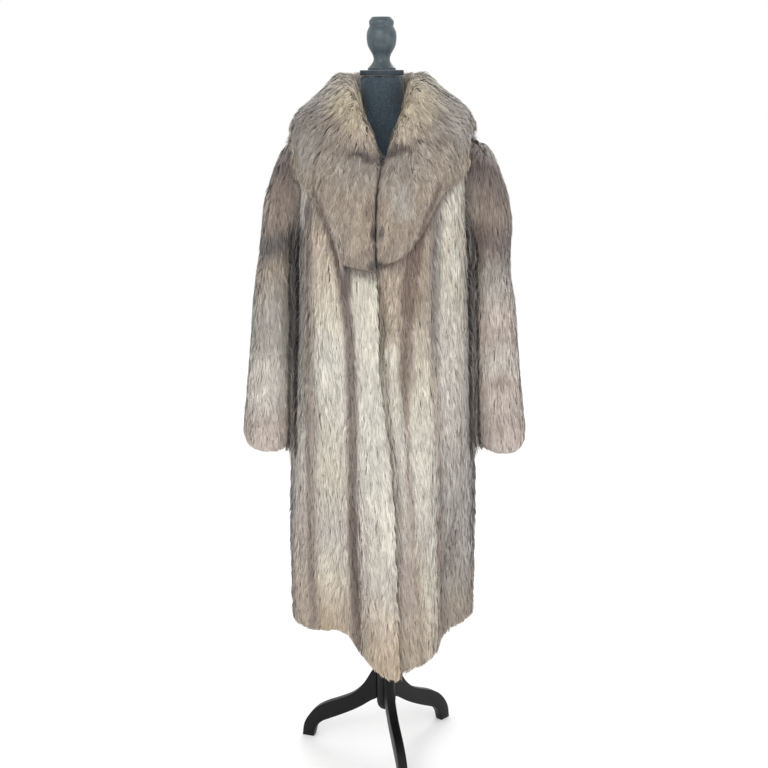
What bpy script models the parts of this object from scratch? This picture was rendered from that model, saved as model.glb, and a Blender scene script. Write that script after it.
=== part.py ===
"""A full-length fox fur coat standing open-necked on a limbless dress form with a turned wooden tripod stand.

Metres, +Z up.  The coat's front faces -Y and its wearer's left is +X.  The origin is on the floor, on the axis of the
stand's pole.  The coat is a hollow wall of hide and fur: front panels, back, sleeves, collar and lapels are separate
solids that meet along their seams.
"""

import math

import bmesh
import bpy
import numpy as np

# ---------------------------------------------------------------- driving sizes
SEAM_GAP = 0.0003  # between two pieces along a seam
HALF_SEAM = SEAM_GAP / 2
BODY_WALL = 0.020  # hide and lying fur of the coat's body
SLEEVE_WALL = 0.018
HEM_Z = 0.285  # nominal height of the fur's lower edge
NECK_Z = 1.437  # the coat's neck edge
FOLD_TOP_Z = 1.10  # the skirt's folds have run out here
BACK_GROOVE = 0.007  # depth of the valleys between the back's pelts
BACK_VALLEY_SPACING = 0.30  # between the back's valleys, as a share of the half width
VALLEY_HALF = 0.014  # half the width of a valley between two pelts
LAP_WIDTH = 0.035  # the right front covers the left front by this much
LAP_TOP_Z = 1.09  # above it the two fronts meet edge to edge
LAP_WALL = 0.006  # the covered strip, its fur pressed flat
LAP_GAP = 0.0035
V_POINT_Z = 1.322  # lower end of the open neckline
NECK_LIFT = 0.0007  # the collar's sewn edge over the coat's outer surface
UNDERSIDE_LIFT = 0.0070  # the fall's underside over it

ARMPIT_Z = 1.165
SHOULDER_TIP_Z = 1.378
ARMHOLE_FRONT = 0.075  # the armhole's reach in front of and behind the side seam
ARMHOLE_BACK = 0.085
ARMHOLE_STEPS = 8

FLOOR_Z = 0.0
LEG_ANGLES = {"leg_front": 281.0, "leg_left": 45.0, "leg_right": 161.0}  # degrees from +X
LEG_THICKNESS = 0.019
HUB_RADIUS = 0.0215
HUB_BOTTOM_Z = 0.101
HUB_TOP_Z = 0.232
POLE_RADIUS = 0.0150
BUST_BOTTOM_Z = 0.800
NECK_TOP_Z = 1.4935
NECK_CAP_THICKNESS = 0.0105


def to_linear(red, green, blue):
    """A screen colour, 11 to 255, as Blender's linear colour."""
    return [((c / 255 + 0.055) / 1.055) ** 2.4 for c in (red, green, blue)]


COLOURS = {
    "fur": (to_linear(176, 166, 155), 0.85),
    "fur_collar": (to_linear(150, 140, 128), 0.85),
    "form_cloth": (to_linear(46, 52, 58), 0.9),
    "stand_wood": (to_linear(44, 45, 46), 0.45),
}


# ---------------------------------------------------------------- tables
class Table:
    """Rows of named columns, read at any height between them through smooth curves that don't overshoot."""

    def __init__(self, columns, rows):
        self.columns = columns.split()
        self.values = np.array(rows, float)
        x = self.values[:, 0]
        step = np.diff(x)[:, None]
        secant = np.diff(self.values, axis=0) / step
        inner = np.zeros_like(self.values)
        before, after = secant[:-1], secant[1:]
        same = before * after > 0
        total = np.where(same, before + after, 1.0)
        inner[1:-1] = np.where(same, 2 * before * after / total, 0.0)
        inner[0], inner[-1] = secant[0], secant[-1]
        self.slopes = inner

    def at(self, key):
        x = self.values[:, 0]
        key = min(max(key, x[0]), x[-1])
        k = int(min(np.searchsorted(x, key, side="right") - 1, len(x) - 2))
        h = x[k + 1] - x[k]
        t = (key - x[k]) / h
        v0, v1 = self.values[k], self.values[k + 1]
        m0, m1 = self.slopes[k] * h, self.slopes[k + 1] * h
        row = (
            (2 * t**3 - 3 * t**2 + 1) * v0
            + (t**3 - 2 * t**2 + t) * m0
            + (3 * t**2 - 2 * t**3) * v1
            + (t**3 - t**2) * m1
        )
        return dict(zip(self.columns, row))


# The outer surface of the coat's body: a rounded section at each height.
BODY = Table(
    "z half_width front back squareness",
    [
        (0.240, 0.205, 0.205, 0.203, 2.2),
        (0.340, 0.208, 0.208, 0.203, 2.2),
        (0.500, 0.207, 0.207, 0.203, 2.2),
        (0.640, 0.199, 0.203, 0.200, 2.25),
        (0.780, 0.190, 0.197, 0.192, 2.3),
        (0.920, 0.183, 0.191, 0.180, 2.35),
        (1.030, 0.178, 0.187, 0.170, 2.4),
        (1.130, 0.176, 0.183, 0.163, 2.4),
        (1.200, 0.176, 0.174, 0.159, 2.4),
        (1.270, 0.177, 0.158, 0.151, 2.4),
        (1.320, 0.179, 0.139, 0.139, 2.35),
        (1.355, 0.182, 0.117, 0.120, 2.3),
        (1.378, 0.186, 0.097, 0.104, 2.3),
        (1.397, 0.150, 0.081, 0.092, 2.2),
        (1.413, 0.115, 0.070, 0.083, 2.1),
        (1.427, 0.083, 0.062, 0.076, 2.0),
        (1.437, 0.066, 0.057, 0.070, 2.0),
    ],
)

# The hem seen from above, with its folds; angles run from the centre front towards the wearer's left.
HEM_RING = [  # angle, x, y, rise of the lower edge
    (0, 0.012, -0.213, -0.011),
    (8, 0.034, -0.2084, -0.011),
    (15, 0.053, -0.194, 0.003),
    (25, 0.085, -0.171, 0.005),
    (36, 0.111, -0.130, 0.007),
    (46, 0.123, -0.070, 0.010),
    (57, 0.140, -0.024, 0.012),
    (70, 0.171, 0.012, 0.012),
    (86, 0.197, 0.055, 0.010),
    (105, 0.205, 0.108, 0.010),
    (125, 0.180, 0.162, 0.008),
    (145, 0.130, 0.197, 0.006),
    (163, 0.066, 0.213, 0.004),
    (180, 0.004, 0.203, 0.006),
    (197, -0.062, 0.214, 0.004),
    (215, -0.130, 0.200, 0.006),
    (235, -0.184, 0.162, 0.008),
    (255, -0.212, 0.105, 0.008),
    (272, -0.211, 0.046, 0.010),
    (286, -0.187, -0.006, 0.014),
    (300, -0.153, -0.038, 0.020),
    (312, -0.119, -0.056, 0.030),
    (323, -0.086, -0.080, 0.028),
    (333, -0.061, -0.131, 0.014),
    (345, -0.032, -0.185, -0.002),
]

# The line along which the right front's edge lies on the left front.
FRONT_EDGE = Table(
    "z x",
    [
        (0.25, 0.0345),
        (0.45, 0.0276),
        (0.60, 0.0221),
        (0.71, 0.0147),
        (0.83, 0.0015),
        (0.93, -0.0077),
        (1.00, -0.0100),
        (1.14, -0.0132),
        (1.26, -0.0125),
        (V_POINT_Z, 0.0010),
        (1.45, 0.0010),
    ],
)

# Half the open neckline's width above the V point.
NECKLINE = Table("z half_gap", [(1.10, 0.0), (V_POINT_Z, 0.0), (1.355, 0.015), (1.397, 0.031), (1.437, 0.046)])


# The valleys between the fronts' pelts, from the closure outwards.
RIGHT_VALLEYS = [
    Table(
        "z x depth",
        [
            (0.25, -0.0615, 0.016),
            (0.40, -0.0640, 0.015),
            (0.53, -0.0664, 0.013),
            (0.86, -0.0640, 0.012),
            (1.00, -0.0664, 0.011),
            (1.10, -0.0830, 0.010),
            (1.20, -0.1038, 0.008),
            (1.30, -0.1200, 0.000),
        ],
    ),
    Table("z x depth", [(0.25, -0.160, 0.006), (0.70, -0.157, 0.006), (1.20, -0.148, 0.004), (1.30, -0.148, 0.0)]),
]
LEFT_VALLEYS = [
    Table(
        "z x depth",
        [
            (0.25, 0.0800, 0.000),
            (0.55, 0.0640, 0.002),
            (0.75, 0.0480, 0.006),
            (0.83, 0.0425, 0.009),
            (0.95, 0.0420, 0.010),
            (1.07, 0.0500, 0.010),
            (1.17, 0.0582, 0.008),
            (1.30, 0.0800, 0.000),
        ],
    ),
    Table(
        "z x depth",
        [
            (0.25, 0.1225, 0.010),
            (0.49, 0.1191, 0.010),
            (0.82, 0.1065, 0.008),
            (1.00, 0.0999, 0.008),
            (1.16, 0.1037, 0.008),
            (1.27, 0.1062, 0.005),
            (1.32, 0.1062, 0.000),
        ],
    ),
]


def ramp(low, high, value):
    """0 below low, 1 above high, and a smooth step between."""
    t = min(max((value - low) / (high - low), 0.0), 1.0)
    return t * t * (3 - 2 * t)


def unit(vector):
    return vector / np.linalg.norm(vector)


def ring_spline(rows, angle):
    """Columns 1 on of a closed ring of rows, read at an angle through a smooth curve."""
    rows = np.array(rows, float)
    keys = rows[:, 0]
    count = len(keys)
    angle = angle % 360
    k = int(np.searchsorted(keys, angle, side="right") - 1)
    p0, p1, p2, p3 = (rows[(k + i) % count, 1:] for i in (-1, 0, 1, 2))
    k0, k1, k2, k3 = (keys[(k + i) % count] for i in (-1, 0, 1, 2))
    span = (k2 - k1) % 360
    t = ((angle - k1) % 360) / span
    m1 = (p2 - p0) / ((k2 - k0) % 360) * span
    m2 = (p3 - p1) / ((k3 - k1) % 360) * span
    return (
        (2 * t**3 - 3 * t**2 + 1) * p1
        + (t**3 - 2 * t**2 + t) * m1
        + (3 * t**2 - 2 * t**3) * p2
        + (t**3 - t**2) * m2
    )


def body_point(angle, z):
    """A point of the coat's outer surface; 0 degrees is the centre front, 90 the wearer's left side."""
    row = BODY.at(z)
    power = 2 / row["squareness"]
    s, c = math.sin(math.radians(angle)), math.cos(math.radians(angle))
    x = row["half_width"] * math.copysign(abs(s) ** power, s)
    y = -row["front"] * c**power if c > 0 else row["back"] * abs(c) ** power
    if z >= FOLD_TOP_Z:
        return np.array([x, y, z])
    folds = (1 - ramp(0.33, FOLD_TOP_Z, z)) ** 1.3
    hem_x, hem_y, rise = ring_spline(HEM_RING, angle)
    lift = rise * max(0.0, 1 - (z - HEM_Z) / 0.33)
    return np.array([x + (hem_x - x) * folds, y + (hem_y - y) * folds, z + lift])


def body_normal(angle, z):
    """The outward normal there."""
    across = body_point(angle + 1.0, z) - body_point(angle - 1.0, z)
    step = 0.002
    top = min(z + step, NECK_Z)
    along = body_point(angle, top) - body_point(angle, top - 2 * step)
    return unit(np.cross(across, along))


def soft_normal(angle, z):
    """The outward normal, evened over a few centimetres of height: the way a thick collar stands off the coat."""
    heights = [min(z + step, NECK_Z - 0.004) for step in (-0.036, -0.018, 0.0, 0.018, 0.036)]
    return unit(sum(body_normal(angle, height) for height in heights))


def angle_where(measure, wanted, z, low, high):
    """The angle between low and high at which measure(point) reaches the wanted value, by halving."""
    sign = 1 if measure(body_point(high, z)) > measure(body_point(low, z)) else -1
    for _halving in range(40):
        middle = (low + high) / 2
        if sign * (measure(body_point(middle, z)) - wanted) > 0:
            high = middle
        else:
            low = middle
    return (low + high) / 2


def angle_at_x(x, z, low=-60.0, high=60.0):
    return angle_where(lambda p: p[0], x, z, low, high)


def armhole_angle(z, side, front):
    """Where a panel ends at height z: on the side seam, the armhole or the shoulder seam (all at 90 or 270)."""
    seam = 90.0 * side
    if not ARMPIT_Z < z < SHOULDER_TIP_Z:
        return seam
    middle = (ARMPIT_Z + SHOULDER_TIP_Z) / 2
    reach = math.sqrt(max(0.0, 1 - ((z - middle) / (SHOULDER_TIP_Z - middle)) ** 2))
    y = -ARMHOLE_FRONT * reach if front else ARMHOLE_BACK * reach
    other = 30.0 * side if front else 150.0 * side
    return angle_where(lambda p: p[1], y, z, min(seam, other), max(seam, other))


ARMHOLE_ROWS = [
    (ARMPIT_Z + SHOULDER_TIP_Z) / 2
    + (SHOULDER_TIP_Z - ARMPIT_Z) / 2 * math.sin(math.pi * (k / ARMHOLE_STEPS - 0.5))
    for k in range(ARMHOLE_STEPS + 1)
]
ARMHOLE_ROWS[0], ARMHOLE_ROWS[-1] = ARMPIT_Z, SHOULDER_TIP_Z
HEM_ROWS = [HEM_Z, HEM_Z + 0.004, HEM_Z + 0.012]
SKIRT_ROWS = [0.345, 0.405, 0.47, 0.54, 0.61, 0.68, 0.75, 0.82, 0.89, 0.96, 1.03, 1.09, 1.13]
SHOULDER_ROWS = [1.389, 1.401, 1.413, 1.425, NECK_Z]
BODY_ROWS = HEM_ROWS + SKIRT_ROWS + ARMHOLE_ROWS + SHOULDER_ROWS


def rounding(distance, wall):
    """Half the wall's thickness at a distance from a free edge that is rounded over."""
    reach = wall * 0.6
    t = min(distance / reach, 1.0)
    return wall / 2 * (0.30 + 0.70 * math.sqrt(1 - (1 - t) ** 2))


def armhole_radial(z, front):
    """The direction out of the armhole's middle, in its own plane."""
    middle = (ARMPIT_Z + SHOULDER_TIP_Z) / 2
    up = (z - middle) / (SHOULDER_TIP_Z - middle)
    along = math.sqrt(max(0.0, 1 - up * up))
    return np.array([0.0, -along if front else along, up])


def armhole_seam(z, side, front):
    """The seam's outer and inner points, halfway between the body's wall and the sleeve's."""
    angle = armhole_angle(z, side, front)
    outer = body_point(angle, z)
    turned = unit(body_normal(angle, z) + armhole_radial(z, front))
    return outer, outer - turned * BODY_WALL


# ---------------------------------------------------------------- making solids
def clear_scene():
    for thing in list(bpy.data.objects):
        bpy.data.objects.remove(thing)


def material(name):
    found = bpy.data.materials.get(name)
    if found:
        return found
    made = bpy.data.materials.new(name)
    made.use_nodes = True
    colour, roughness = COLOURS[name]
    shader = made.node_tree.nodes["Principled BSDF"]
    shader.inputs["Base Color"].default_value = (*colour, 1.0)
    shader.inputs["Roughness"].default_value = roughness
    made.diffuse_color = (*colour, 1.0)
    return made


def add_object(name, bm, finish, sharp_degrees=40.0):
    """Turns a bmesh into a named, smooth-shaded object with its faces pointing outwards."""
    bmesh.ops.recalc_face_normals(bm, faces=bm.faces)
    mesh = bpy.data.meshes.new(name)
    bm.to_mesh(mesh)
    bm.free()
    mesh.shade_smooth()
    mesh.set_sharp_from_angle(angle=math.radians(sharp_degrees))
    made = bpy.data.objects.new(name, mesh)
    made.data.materials.append(material(finish))
    bpy.context.scene.collection.objects.link(made)
    return made


def wall_from_grids(name, outer, inner, finish, closed=False, flip_from=None):
    """A closed wall between two grids of points [row][column].

    A closed wall runs round a tube.  Its end strips are cut along the same diagonals as the neighbour's seam strips;
    from column flip_from on the diagonal turns, where the neighbour's rows run the other way.
    """
    rows, columns = len(outer), len(outer[0])
    bm = bmesh.new()
    out = [[bm.verts.new(p) for p in row] for row in outer]
    into = [[bm.verts.new(p) for p in row] for row in inner]
    spans = columns if closed else columns - 1
    for r in range(rows - 1):
        for c in range(spans):
            d = (c + 1) % columns
            bm.faces.new((out[r][c], out[r][d], out[r + 1][d], out[r + 1][c]))
            bm.faces.new((into[r][c], into[r + 1][c], into[r + 1][d], into[r][d]))

    def strip(o0, o1, i1, i0, turned):
        """The wall's cut edge between two neighbouring points, as two triangles."""
        if turned:
            bm.faces.new((o0, o1, i0))
            bm.faces.new((o1, i1, i0))
        else:
            bm.faces.new((o0, o1, i1))
            bm.faces.new((o0, i1, i0))

    for c in range(spans):
        d = (c + 1) % columns
        turned = flip_from is not None and c >= flip_from
        strip(out[0][c], out[0][d], into[0][d], into[0][c], turned)
        strip(out[-1][c], out[-1][d], into[-1][d], into[-1][c], turned)
    if not closed:
        for r in range(rows - 1):
            strip(out[r][0], out[r + 1][0], into[r + 1][0], into[r][0], False)
            strip(out[r][-1], out[r + 1][-1], into[r + 1][-1], into[r][-1], False)
    return add_object(name, bm, finish, 55.0)


def stack_of_rings(name, rings, finish, sharp_degrees=40.0, laced_ends=False):
    """A closed solid through rings of equally many points.

    Its ends are single faces, or laced from side to side: two pieces sewn end to end then meet along one surface.
    """
    bm = bmesh.new()
    loops = [[bm.verts.new(p) for p in ring] for ring in rings]
    count = len(loops[0])
    for low, high in zip(loops, loops[1:]):
        for c in range(count):
            d = (c + 1) % count
            bm.faces.new((low[c], low[d], high[d], high[c]))
    for end in (loops[0], loops[-1]):
        if not laced_ends:
            bm.faces.new(end)
            continue
        first, last = 0, count - 1
        while last - first > 1:
            bm.faces.new((end[first], end[first + 1], end[last]))
            first += 1
            if last - first > 1:
                bm.faces.new((end[first], end[last - 1], end[last]))
                last -= 1
    return add_object(name, bm, finish, sharp_degrees)


# ---------------------------------------------------------------- coat body
def spread(angles, z, samples=48):
    """Points along the outer surface at height z between two angles, and the running length."""
    line = np.linspace(angles[0], angles[1], samples)
    points = np.array([body_point(a, z) for a in line])
    run = np.concatenate([[0.0], np.cumsum(np.linalg.norm(np.diff(points, axis=0), axis=1))])
    return line, run


def body_panel(start_angle, end_angle, columns, edge_start=False, covered=None):
    """The outer and inner grid of one panel of the body.

    start_angle and end_angle give its two sides at a height, and columns the running lengths of its points with the
    depth of the valley at each.  edge_start says that the first side is free, and so rounded over.  covered gives, from
    0 to 1, how far a point lies under the panel that covers it.
    """
    outer, inner = [], []
    for z in BODY_ROWS:
        line, run = spread((start_angle(z), end_angle(z)), z)
        out_row, in_row = [], []
        for length, valley in columns(z, line, run):
            angle = float(np.interp(length, run, line))
            point, normal = body_point(angle, z), body_normal(angle, z)
            share = covered(point, z) if covered else 0.0
            wall = BODY_WALL + (LAP_WALL - BODY_WALL) * share
            half = rounding(z - HEM_Z, wall)
            if edge_start:
                half = min(half, rounding(length, wall))
            middle = point - normal * (wall / 2 + share * (BODY_WALL + LAP_GAP))
            valley *= ramp(HEM_Z, HEM_Z + 0.06, z)
            out_row.append(middle + normal * (half - valley))
            in_row.append(middle - normal * half)
        outer.append(out_row)
        inner.append(in_row)
    return outer, inner


def draw_back(outer, inner, column):
    """Moves one side of a panel away from its seam by half the gap."""
    step = 1 if column == 0 else -1
    for row_out, row_in in zip(outer, inner):
        along = unit(row_out[column + step] - row_out[column])
        row_out[column] = row_out[column] + along * HALF_SEAM
        row_in[column] = row_in[column] + along * HALF_SEAM


def fit_armhole(outer, inner, column, side, front):
    """Puts the panel's side on the armhole seam, and turns the wall towards the seam over the last columns."""
    step = 1 if column == 0 else -1
    first = len(HEM_ROWS) + len(SKIRT_ROWS)
    for row in range(first, first + ARMHOLE_STEPS + 1):
        seam_out, seam_in = armhole_seam(BODY_ROWS[row], side, front)
        turned = seam_in - inner[row][column]
        outer[row][column], inner[row][column] = seam_out, seam_in
        for k, share in enumerate((0.66, 0.36, 0.14), start=1):
            inner[row][column + k * step] = inner[row][column + k * step] + turned * share


def valley_columns(valleys, first_lengths, tail):
    """Columns of a front: the first ones, then close ones at each valley and even ones across each pelt."""

    def columns(z, line, run):
        length = run[-1]
        near = first_lengths(z)
        lines = []
        for k, valley in enumerate(valleys):
            row = valley.at(z)
            by_place = float(np.interp(angle_at_x(row["x"], z, -88, 88), *ascending(line, run)))
            by_share = near[-1] + (length - near[-1]) * (k + 1) / (len(valleys) + 1)
            lines.append((by_place + (by_share - by_place) * ramp(1.17, 1.30, z), row["depth"]))
        found = [(at, 0.0) for at in near]
        for at, depth in lines:
            before = found[-1][0]
            flank = min(VALLEY_HALF, (at - before) * 0.4)
            steps = 2 if before == near[-1] else 3
            found += [(before + (at - flank - before) * k / steps, 0.0) for k in range(1, steps)]
            found += [(at - flank, depth * 0.22), (at, depth), (at + flank, depth * 0.22)]
        last = found[-1][0]
        found += [(last + (length - last) * k / tail, 0.0) for k in range(1, tail + 1)]
        return found

    return columns


def ascending(angles, values):
    """Two arrays turned round, if need be, so that the first one rises."""
    return (angles, values) if angles[-1] > angles[0] else (angles[::-1], values[::-1])


def back_columns(z, line, run):
    """Six pelts side by side: each valley keeps its share of the half width, and at the neck its share of the arc."""
    depth = BACK_GROOVE * (1 - ramp(1.30, 1.38, z))
    half_width = BODY.at(z)["half_width"]
    shares = [BACK_VALLEY_SPACING * k for k in (2, 1, 0, -1, -2)]
    lines = [
        float(np.interp(angle_where(lambda p: p[0], share * half_width, z, 92, 268), line, run)) for share in shares
    ]
    to_neck = ramp(1.30, 1.40, z)
    lines = [at + (run[-1] * (k + 1) / (len(lines) + 1) - at) * to_neck for k, at in enumerate(lines)]
    ends = [0.0, *lines, run[-1]]
    found = [(0.0, 0.0)]
    for k, (before, at) in enumerate(zip(ends, ends[1:])):
        width = at - before
        flank = min(VALLEY_HALF, width * 0.3)
        if k > 0:
            found.append((before + flank, depth * 0.22))
        found.append((before + width / 2, 0.0))
        if k < len(lines):
            found += [(at - flank, depth * 0.22), (at, depth)]
    return found + [(run[-1], 0.0)]


def right_front_start(z):
    """The wearer's right front: its free edge, or above the V point its side of the open neckline."""
    return angle_at_x(FRONT_EDGE.at(z)["x"] - NECKLINE.at(z)["half_gap"], z)


def lap(z):
    """How far the left front runs on below the right one."""
    return LAP_WIDTH * (1 - ramp(LAP_TOP_Z - 0.06, LAP_TOP_Z, z))


def left_front_start(z):
    return angle_at_x(FRONT_EDGE.at(z)["x"] - lap(z) + NECKLINE.at(z)["half_gap"], z)


def left_front_covered(point, z):
    """1 where the right front lies on the left one, down to 0 where the left one has risen beside its edge."""
    past = point[0] - FRONT_EDGE.at(z)["x"]
    covered = min(max((0.022 - past) / 0.019, 0.0), 1.0)
    return covered * (1 - ramp(LAP_TOP_Z, LAP_TOP_Z + 0.04, z))


def make_body():
    outer, inner = body_panel(
        right_front_start,
        lambda z: armhole_angle(z, -1, True),
        valley_columns(RIGHT_VALLEYS, lambda z: [0.0, 0.006, 0.016], 3),
        edge_start=True,
    )
    draw_back(outer, inner, 0)
    fit_armhole(outer, inner, -1, -1, True)
    draw_back(outer, inner, -1)
    wall_from_grids("front_right", outer, inner, "fur")

    outer, inner = body_panel(
        left_front_start,
        lambda z: armhole_angle(z, 1, True),
        valley_columns(
            LEFT_VALLEYS, lambda z: [0.0, lap(z) / 2 + 0.002, lap(z) + 0.004, lap(z) + 0.013, lap(z) + 0.022], 3
        ),
        edge_start=True,
        covered=left_front_covered,
    )
    draw_back(outer, inner, 0)
    fit_armhole(outer, inner, -1, 1, True)
    draw_back(outer, inner, -1)
    wall_from_grids("front_left", outer, inner, "fur")

    outer, inner = body_panel(
        lambda z: armhole_angle(z, 1, False), lambda z: 360.0 + armhole_angle(z, -1, False), back_columns
    )
    fit_armhole(outer, inner, 0, 1, False)
    fit_armhole(outer, inner, -1, -1, False)
    draw_back(outer, inner, 0)
    draw_back(outer, inner, -1)
    wall_from_grids("back", outer, inner, "fur")


# ---------------------------------------------------------------- sleeves
# Each row is an oval ring from the body's side (inner) to the sleeve's outside, in a plane that turns from the
# armhole's to level.  The outer reach differs a little between the two sleeves.
SLEEVE_COLUMNS = "inner_x inner_z reach_right reach_left outer_z drop_left depth y".split()
SLEEVE_RINGS = [
    (0.1805, 1.1595, 0.204, 0.219, 1.351, 0.000, 0.172, 0.006),
    (0.1830, 1.1500, 0.220, 0.236, 1.316, 0.000, 0.178, 0.006),
    (0.1845, 1.1370, 0.241, 0.258, 1.255, 0.000, 0.180, 0.006),
    (0.1850, 1.1200, 0.248, 0.266, 1.200, 0.000, 0.178, 0.006),
    (0.1850, 1.1000, 0.255, 0.262, 1.145, 0.000, 0.176, 0.005),
    (0.1850, 1.0740, 0.264, 0.264, 1.092, 0.000, 0.172, 0.004),
    (0.1855, 1.0360, 0.272, 0.275, 1.036, 0.000, 0.170, 0.002),
    (0.1875, 0.9670, 0.278, 0.280, 0.967, 0.000, 0.167, 0.000),
    (0.1900, 0.8980, 0.285, 0.286, 0.898, 0.003, 0.163, -0.003),
    (0.1925, 0.8350, 0.292, 0.293, 0.835, 0.006, 0.158, -0.006),
    (0.1960, 0.7850, 0.299, 0.300, 0.785, 0.010, 0.154, -0.009),
    (0.1985, 0.7530, 0.299, 0.300, 0.755, 0.013, 0.150, -0.010),
    (0.2000, 0.7380, 0.295, 0.294, 0.742, 0.014, 0.146, -0.010),
    (0.2020, 0.7290, 0.289, 0.286, 0.733, 0.015, 0.141, -0.010),
]
CUFF_Z = SLEEVE_RINGS[-1][1]
SLEEVE_SQUARENESS = 2.5


def sleeve_ring(row, side, half):
    """The outer and inner ring of one sleeve row, in the order of the armhole seam's points."""
    reach = row["reach_left"] if side > 0 else row["reach_right"]
    drop = row["drop_left"] if side > 0 else 0.0
    low = np.array([row["inner_x"] * side, row["y"], row["inner_z"]])
    high = np.array([reach * side, row["y"], row["outer_z"] - drop])
    centre, across = (low + high) / 2, high - low
    width, deep = np.linalg.norm(across) / 2, row["depth"] / 2
    across = unit(across)
    shrink = SLEEVE_WALL / 2 - half
    power = 2 / SLEEVE_SQUARENESS
    rings = []
    for inset in (shrink, shrink + 2 * half):
        ring = []
        for k in range(2 * ARMHOLE_STEPS):
            turn = math.pi * k / ARMHOLE_STEPS
            a, b = -math.cos(turn), -math.sin(turn)
            ring.append(
                centre
                + across * (width - inset) * math.copysign(abs(a) ** power, a)
                + np.array([0.0, (deep - inset) * math.copysign(abs(b) ** power, b), 0.0])
            )
        rings.append(ring)
    return rings


def make_sleeve(name, side):
    order = [(k, True) for k in range(ARMHOLE_STEPS + 1)] + [
        (k, False) for k in range(ARMHOLE_STEPS - 1, 0, -1)
    ]
    seam = [armhole_seam(ARMHOLE_ROWS[k], side, front) for k, front in order]
    outer, inner = [[s[0] for s in seam]], [[s[1] for s in seam]]
    for values in SLEEVE_RINGS:
        row = dict(zip(SLEEVE_COLUMNS, values))
        half = rounding(row["inner_z"] - CUFF_Z, SLEEVE_WALL)
        out_ring, in_ring = sleeve_ring(row, side, half)
        outer.append(out_ring)
        inner.append(in_ring)
    clear = np.array([side * SEAM_GAP * 1.4, 0.0, -SEAM_GAP * 0.5])
    outer[0] = [p + clear for p in outer[0]]
    inner[0] = [p + clear for p in inner[0]]
    wall_from_grids(name, outer, inner, "fur", closed=True, flip_from=ARMHOLE_STEPS)


# ---------------------------------------------------------------- collar and lapels
# Stations along the collar, from the centre back round the neck and down the lapel.  Each has the place of the neck
# edge (in) and of the free edge (out) on the coat, the roll's height over the neck edge, how far the roll leans from
# upright to the cloth's normal, and the fall's thickness in the middle and at its edge.
STATION_COLUMNS = "name in_angle in_z out_x out_z behind roll lean middle edge".split()
COLLAR_STATIONS = {
    1: [
        ("centre_back", 180, 1.437, 0.000, 1.285, 1, 0.063, 0.0, 0.050, 0.026),
        ("back", 158, 1.437, 0.060, 1.288, 1, 0.063, 0.0, 0.050, 0.026),
        ("shoulder_blade", 135, 1.437, 0.112, 1.304, 1, 0.063, 0.0, 0.052, 0.025),
        ("back_shoulder", 112, 1.437, 0.146, 1.342, 1, 0.063, 0.0, 0.053, 0.024),
        ("shoulder", 90, 1.437, 0.156, 1.394, 0, 0.063, 0.0, 0.053, 0.020),
        ("front_shoulder", 68, 1.437, 0.156, 1.368, -1, 0.063, 0.0, 0.053, 0.023),
        ("collar_front", -1, 1.424, 0.154, 1.328, -1, 0.064, 0.15, 0.050, 0.026),
        ("neckline", -1, 1.375, 0.144, 1.303, -1, 0.046, 0.60, 0.043, 0.025),
        ("v_point", -1, V_POINT_Z, 0.128, 1.288, -1, 0.036, 1.0, 0.038, 0.023),
        ("lapel_top", -1, 1.280, 0.107, 1.270, -1, 0.034, 1.0, 0.037, 0.022),
        ("lapel_chest", -1, 1.232, 0.087, 1.235, -1, 0.033, 1.0, 0.035, 0.020),
        ("lapel_middle", -1, 1.186, 0.066, 1.194, -1, 0.032, 1.0, 0.033, 0.019),
        ("lapel_low", -1, 1.158, 0.050, 1.170, -1, 0.030, 1.0, 0.031, 0.018),
        ("lapel_end", -1, 1.140, 0.034, 1.152, -1, 0.026, 1.0, 0.027, 0.016),
    ],
    -1: [
        ("centre_back", 180, 1.437, 0.000, 1.285, 1, 0.063, 0.0, 0.050, 0.026),
        ("back", 158, 1.437, 0.060, 1.288, 1, 0.063, 0.0, 0.050, 0.026),
        ("shoulder_blade", 135, 1.437, 0.112, 1.304, 1, 0.063, 0.0, 0.052, 0.025),
        ("back_shoulder", 112, 1.437, 0.146, 1.342, 1, 0.063, 0.0, 0.052, 0.024),
        ("shoulder", 90, 1.437, 0.156, 1.394, 0, 0.063, 0.0, 0.042, 0.017),
        ("front_shoulder", 68, 1.437, 0.160, 1.366, -1, 0.063, 0.0, 0.043, 0.021),
        ("collar_front", -1, 1.424, 0.162, 1.334, -1, 0.064, 0.15, 0.048, 0.025),
        ("neckline", -1, 1.375, 0.158, 1.310, -1, 0.046, 0.60, 0.042, 0.025),
        ("v_point", -1, V_POINT_Z, 0.144, 1.288, -1, 0.036, 1.0, 0.038, 0.023),
        ("lapel_top", -1, 1.272, 0.124, 1.263, -1, 0.034, 1.0, 0.037, 0.022),
        ("lapel_chest", -1, 1.225, 0.106, 1.230, -1, 0.033, 1.0, 0.035, 0.020),
        ("lapel_middle", -1, 1.180, 0.090, 1.190, -1, 0.032, 1.0, 0.033, 0.019),
        ("lapel_low", -1, 1.150, 0.078, 1.158, -1, 0.030, 1.0, 0.031, 0.018),
        ("lapel_end", -1, 1.130, 0.067, 1.138, -1, 0.026, 1.0, 0.027, 0.016),
    ],
}
V_STATION = 8  # the collar is sewn to the lapel here
LAST_STATION = 13
FALL_SHARES = (0.36, 0.56, 0.76, 0.92)
FALL_FULLNESS = (1.0, 0.94, 0.76, 0.52)


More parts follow.
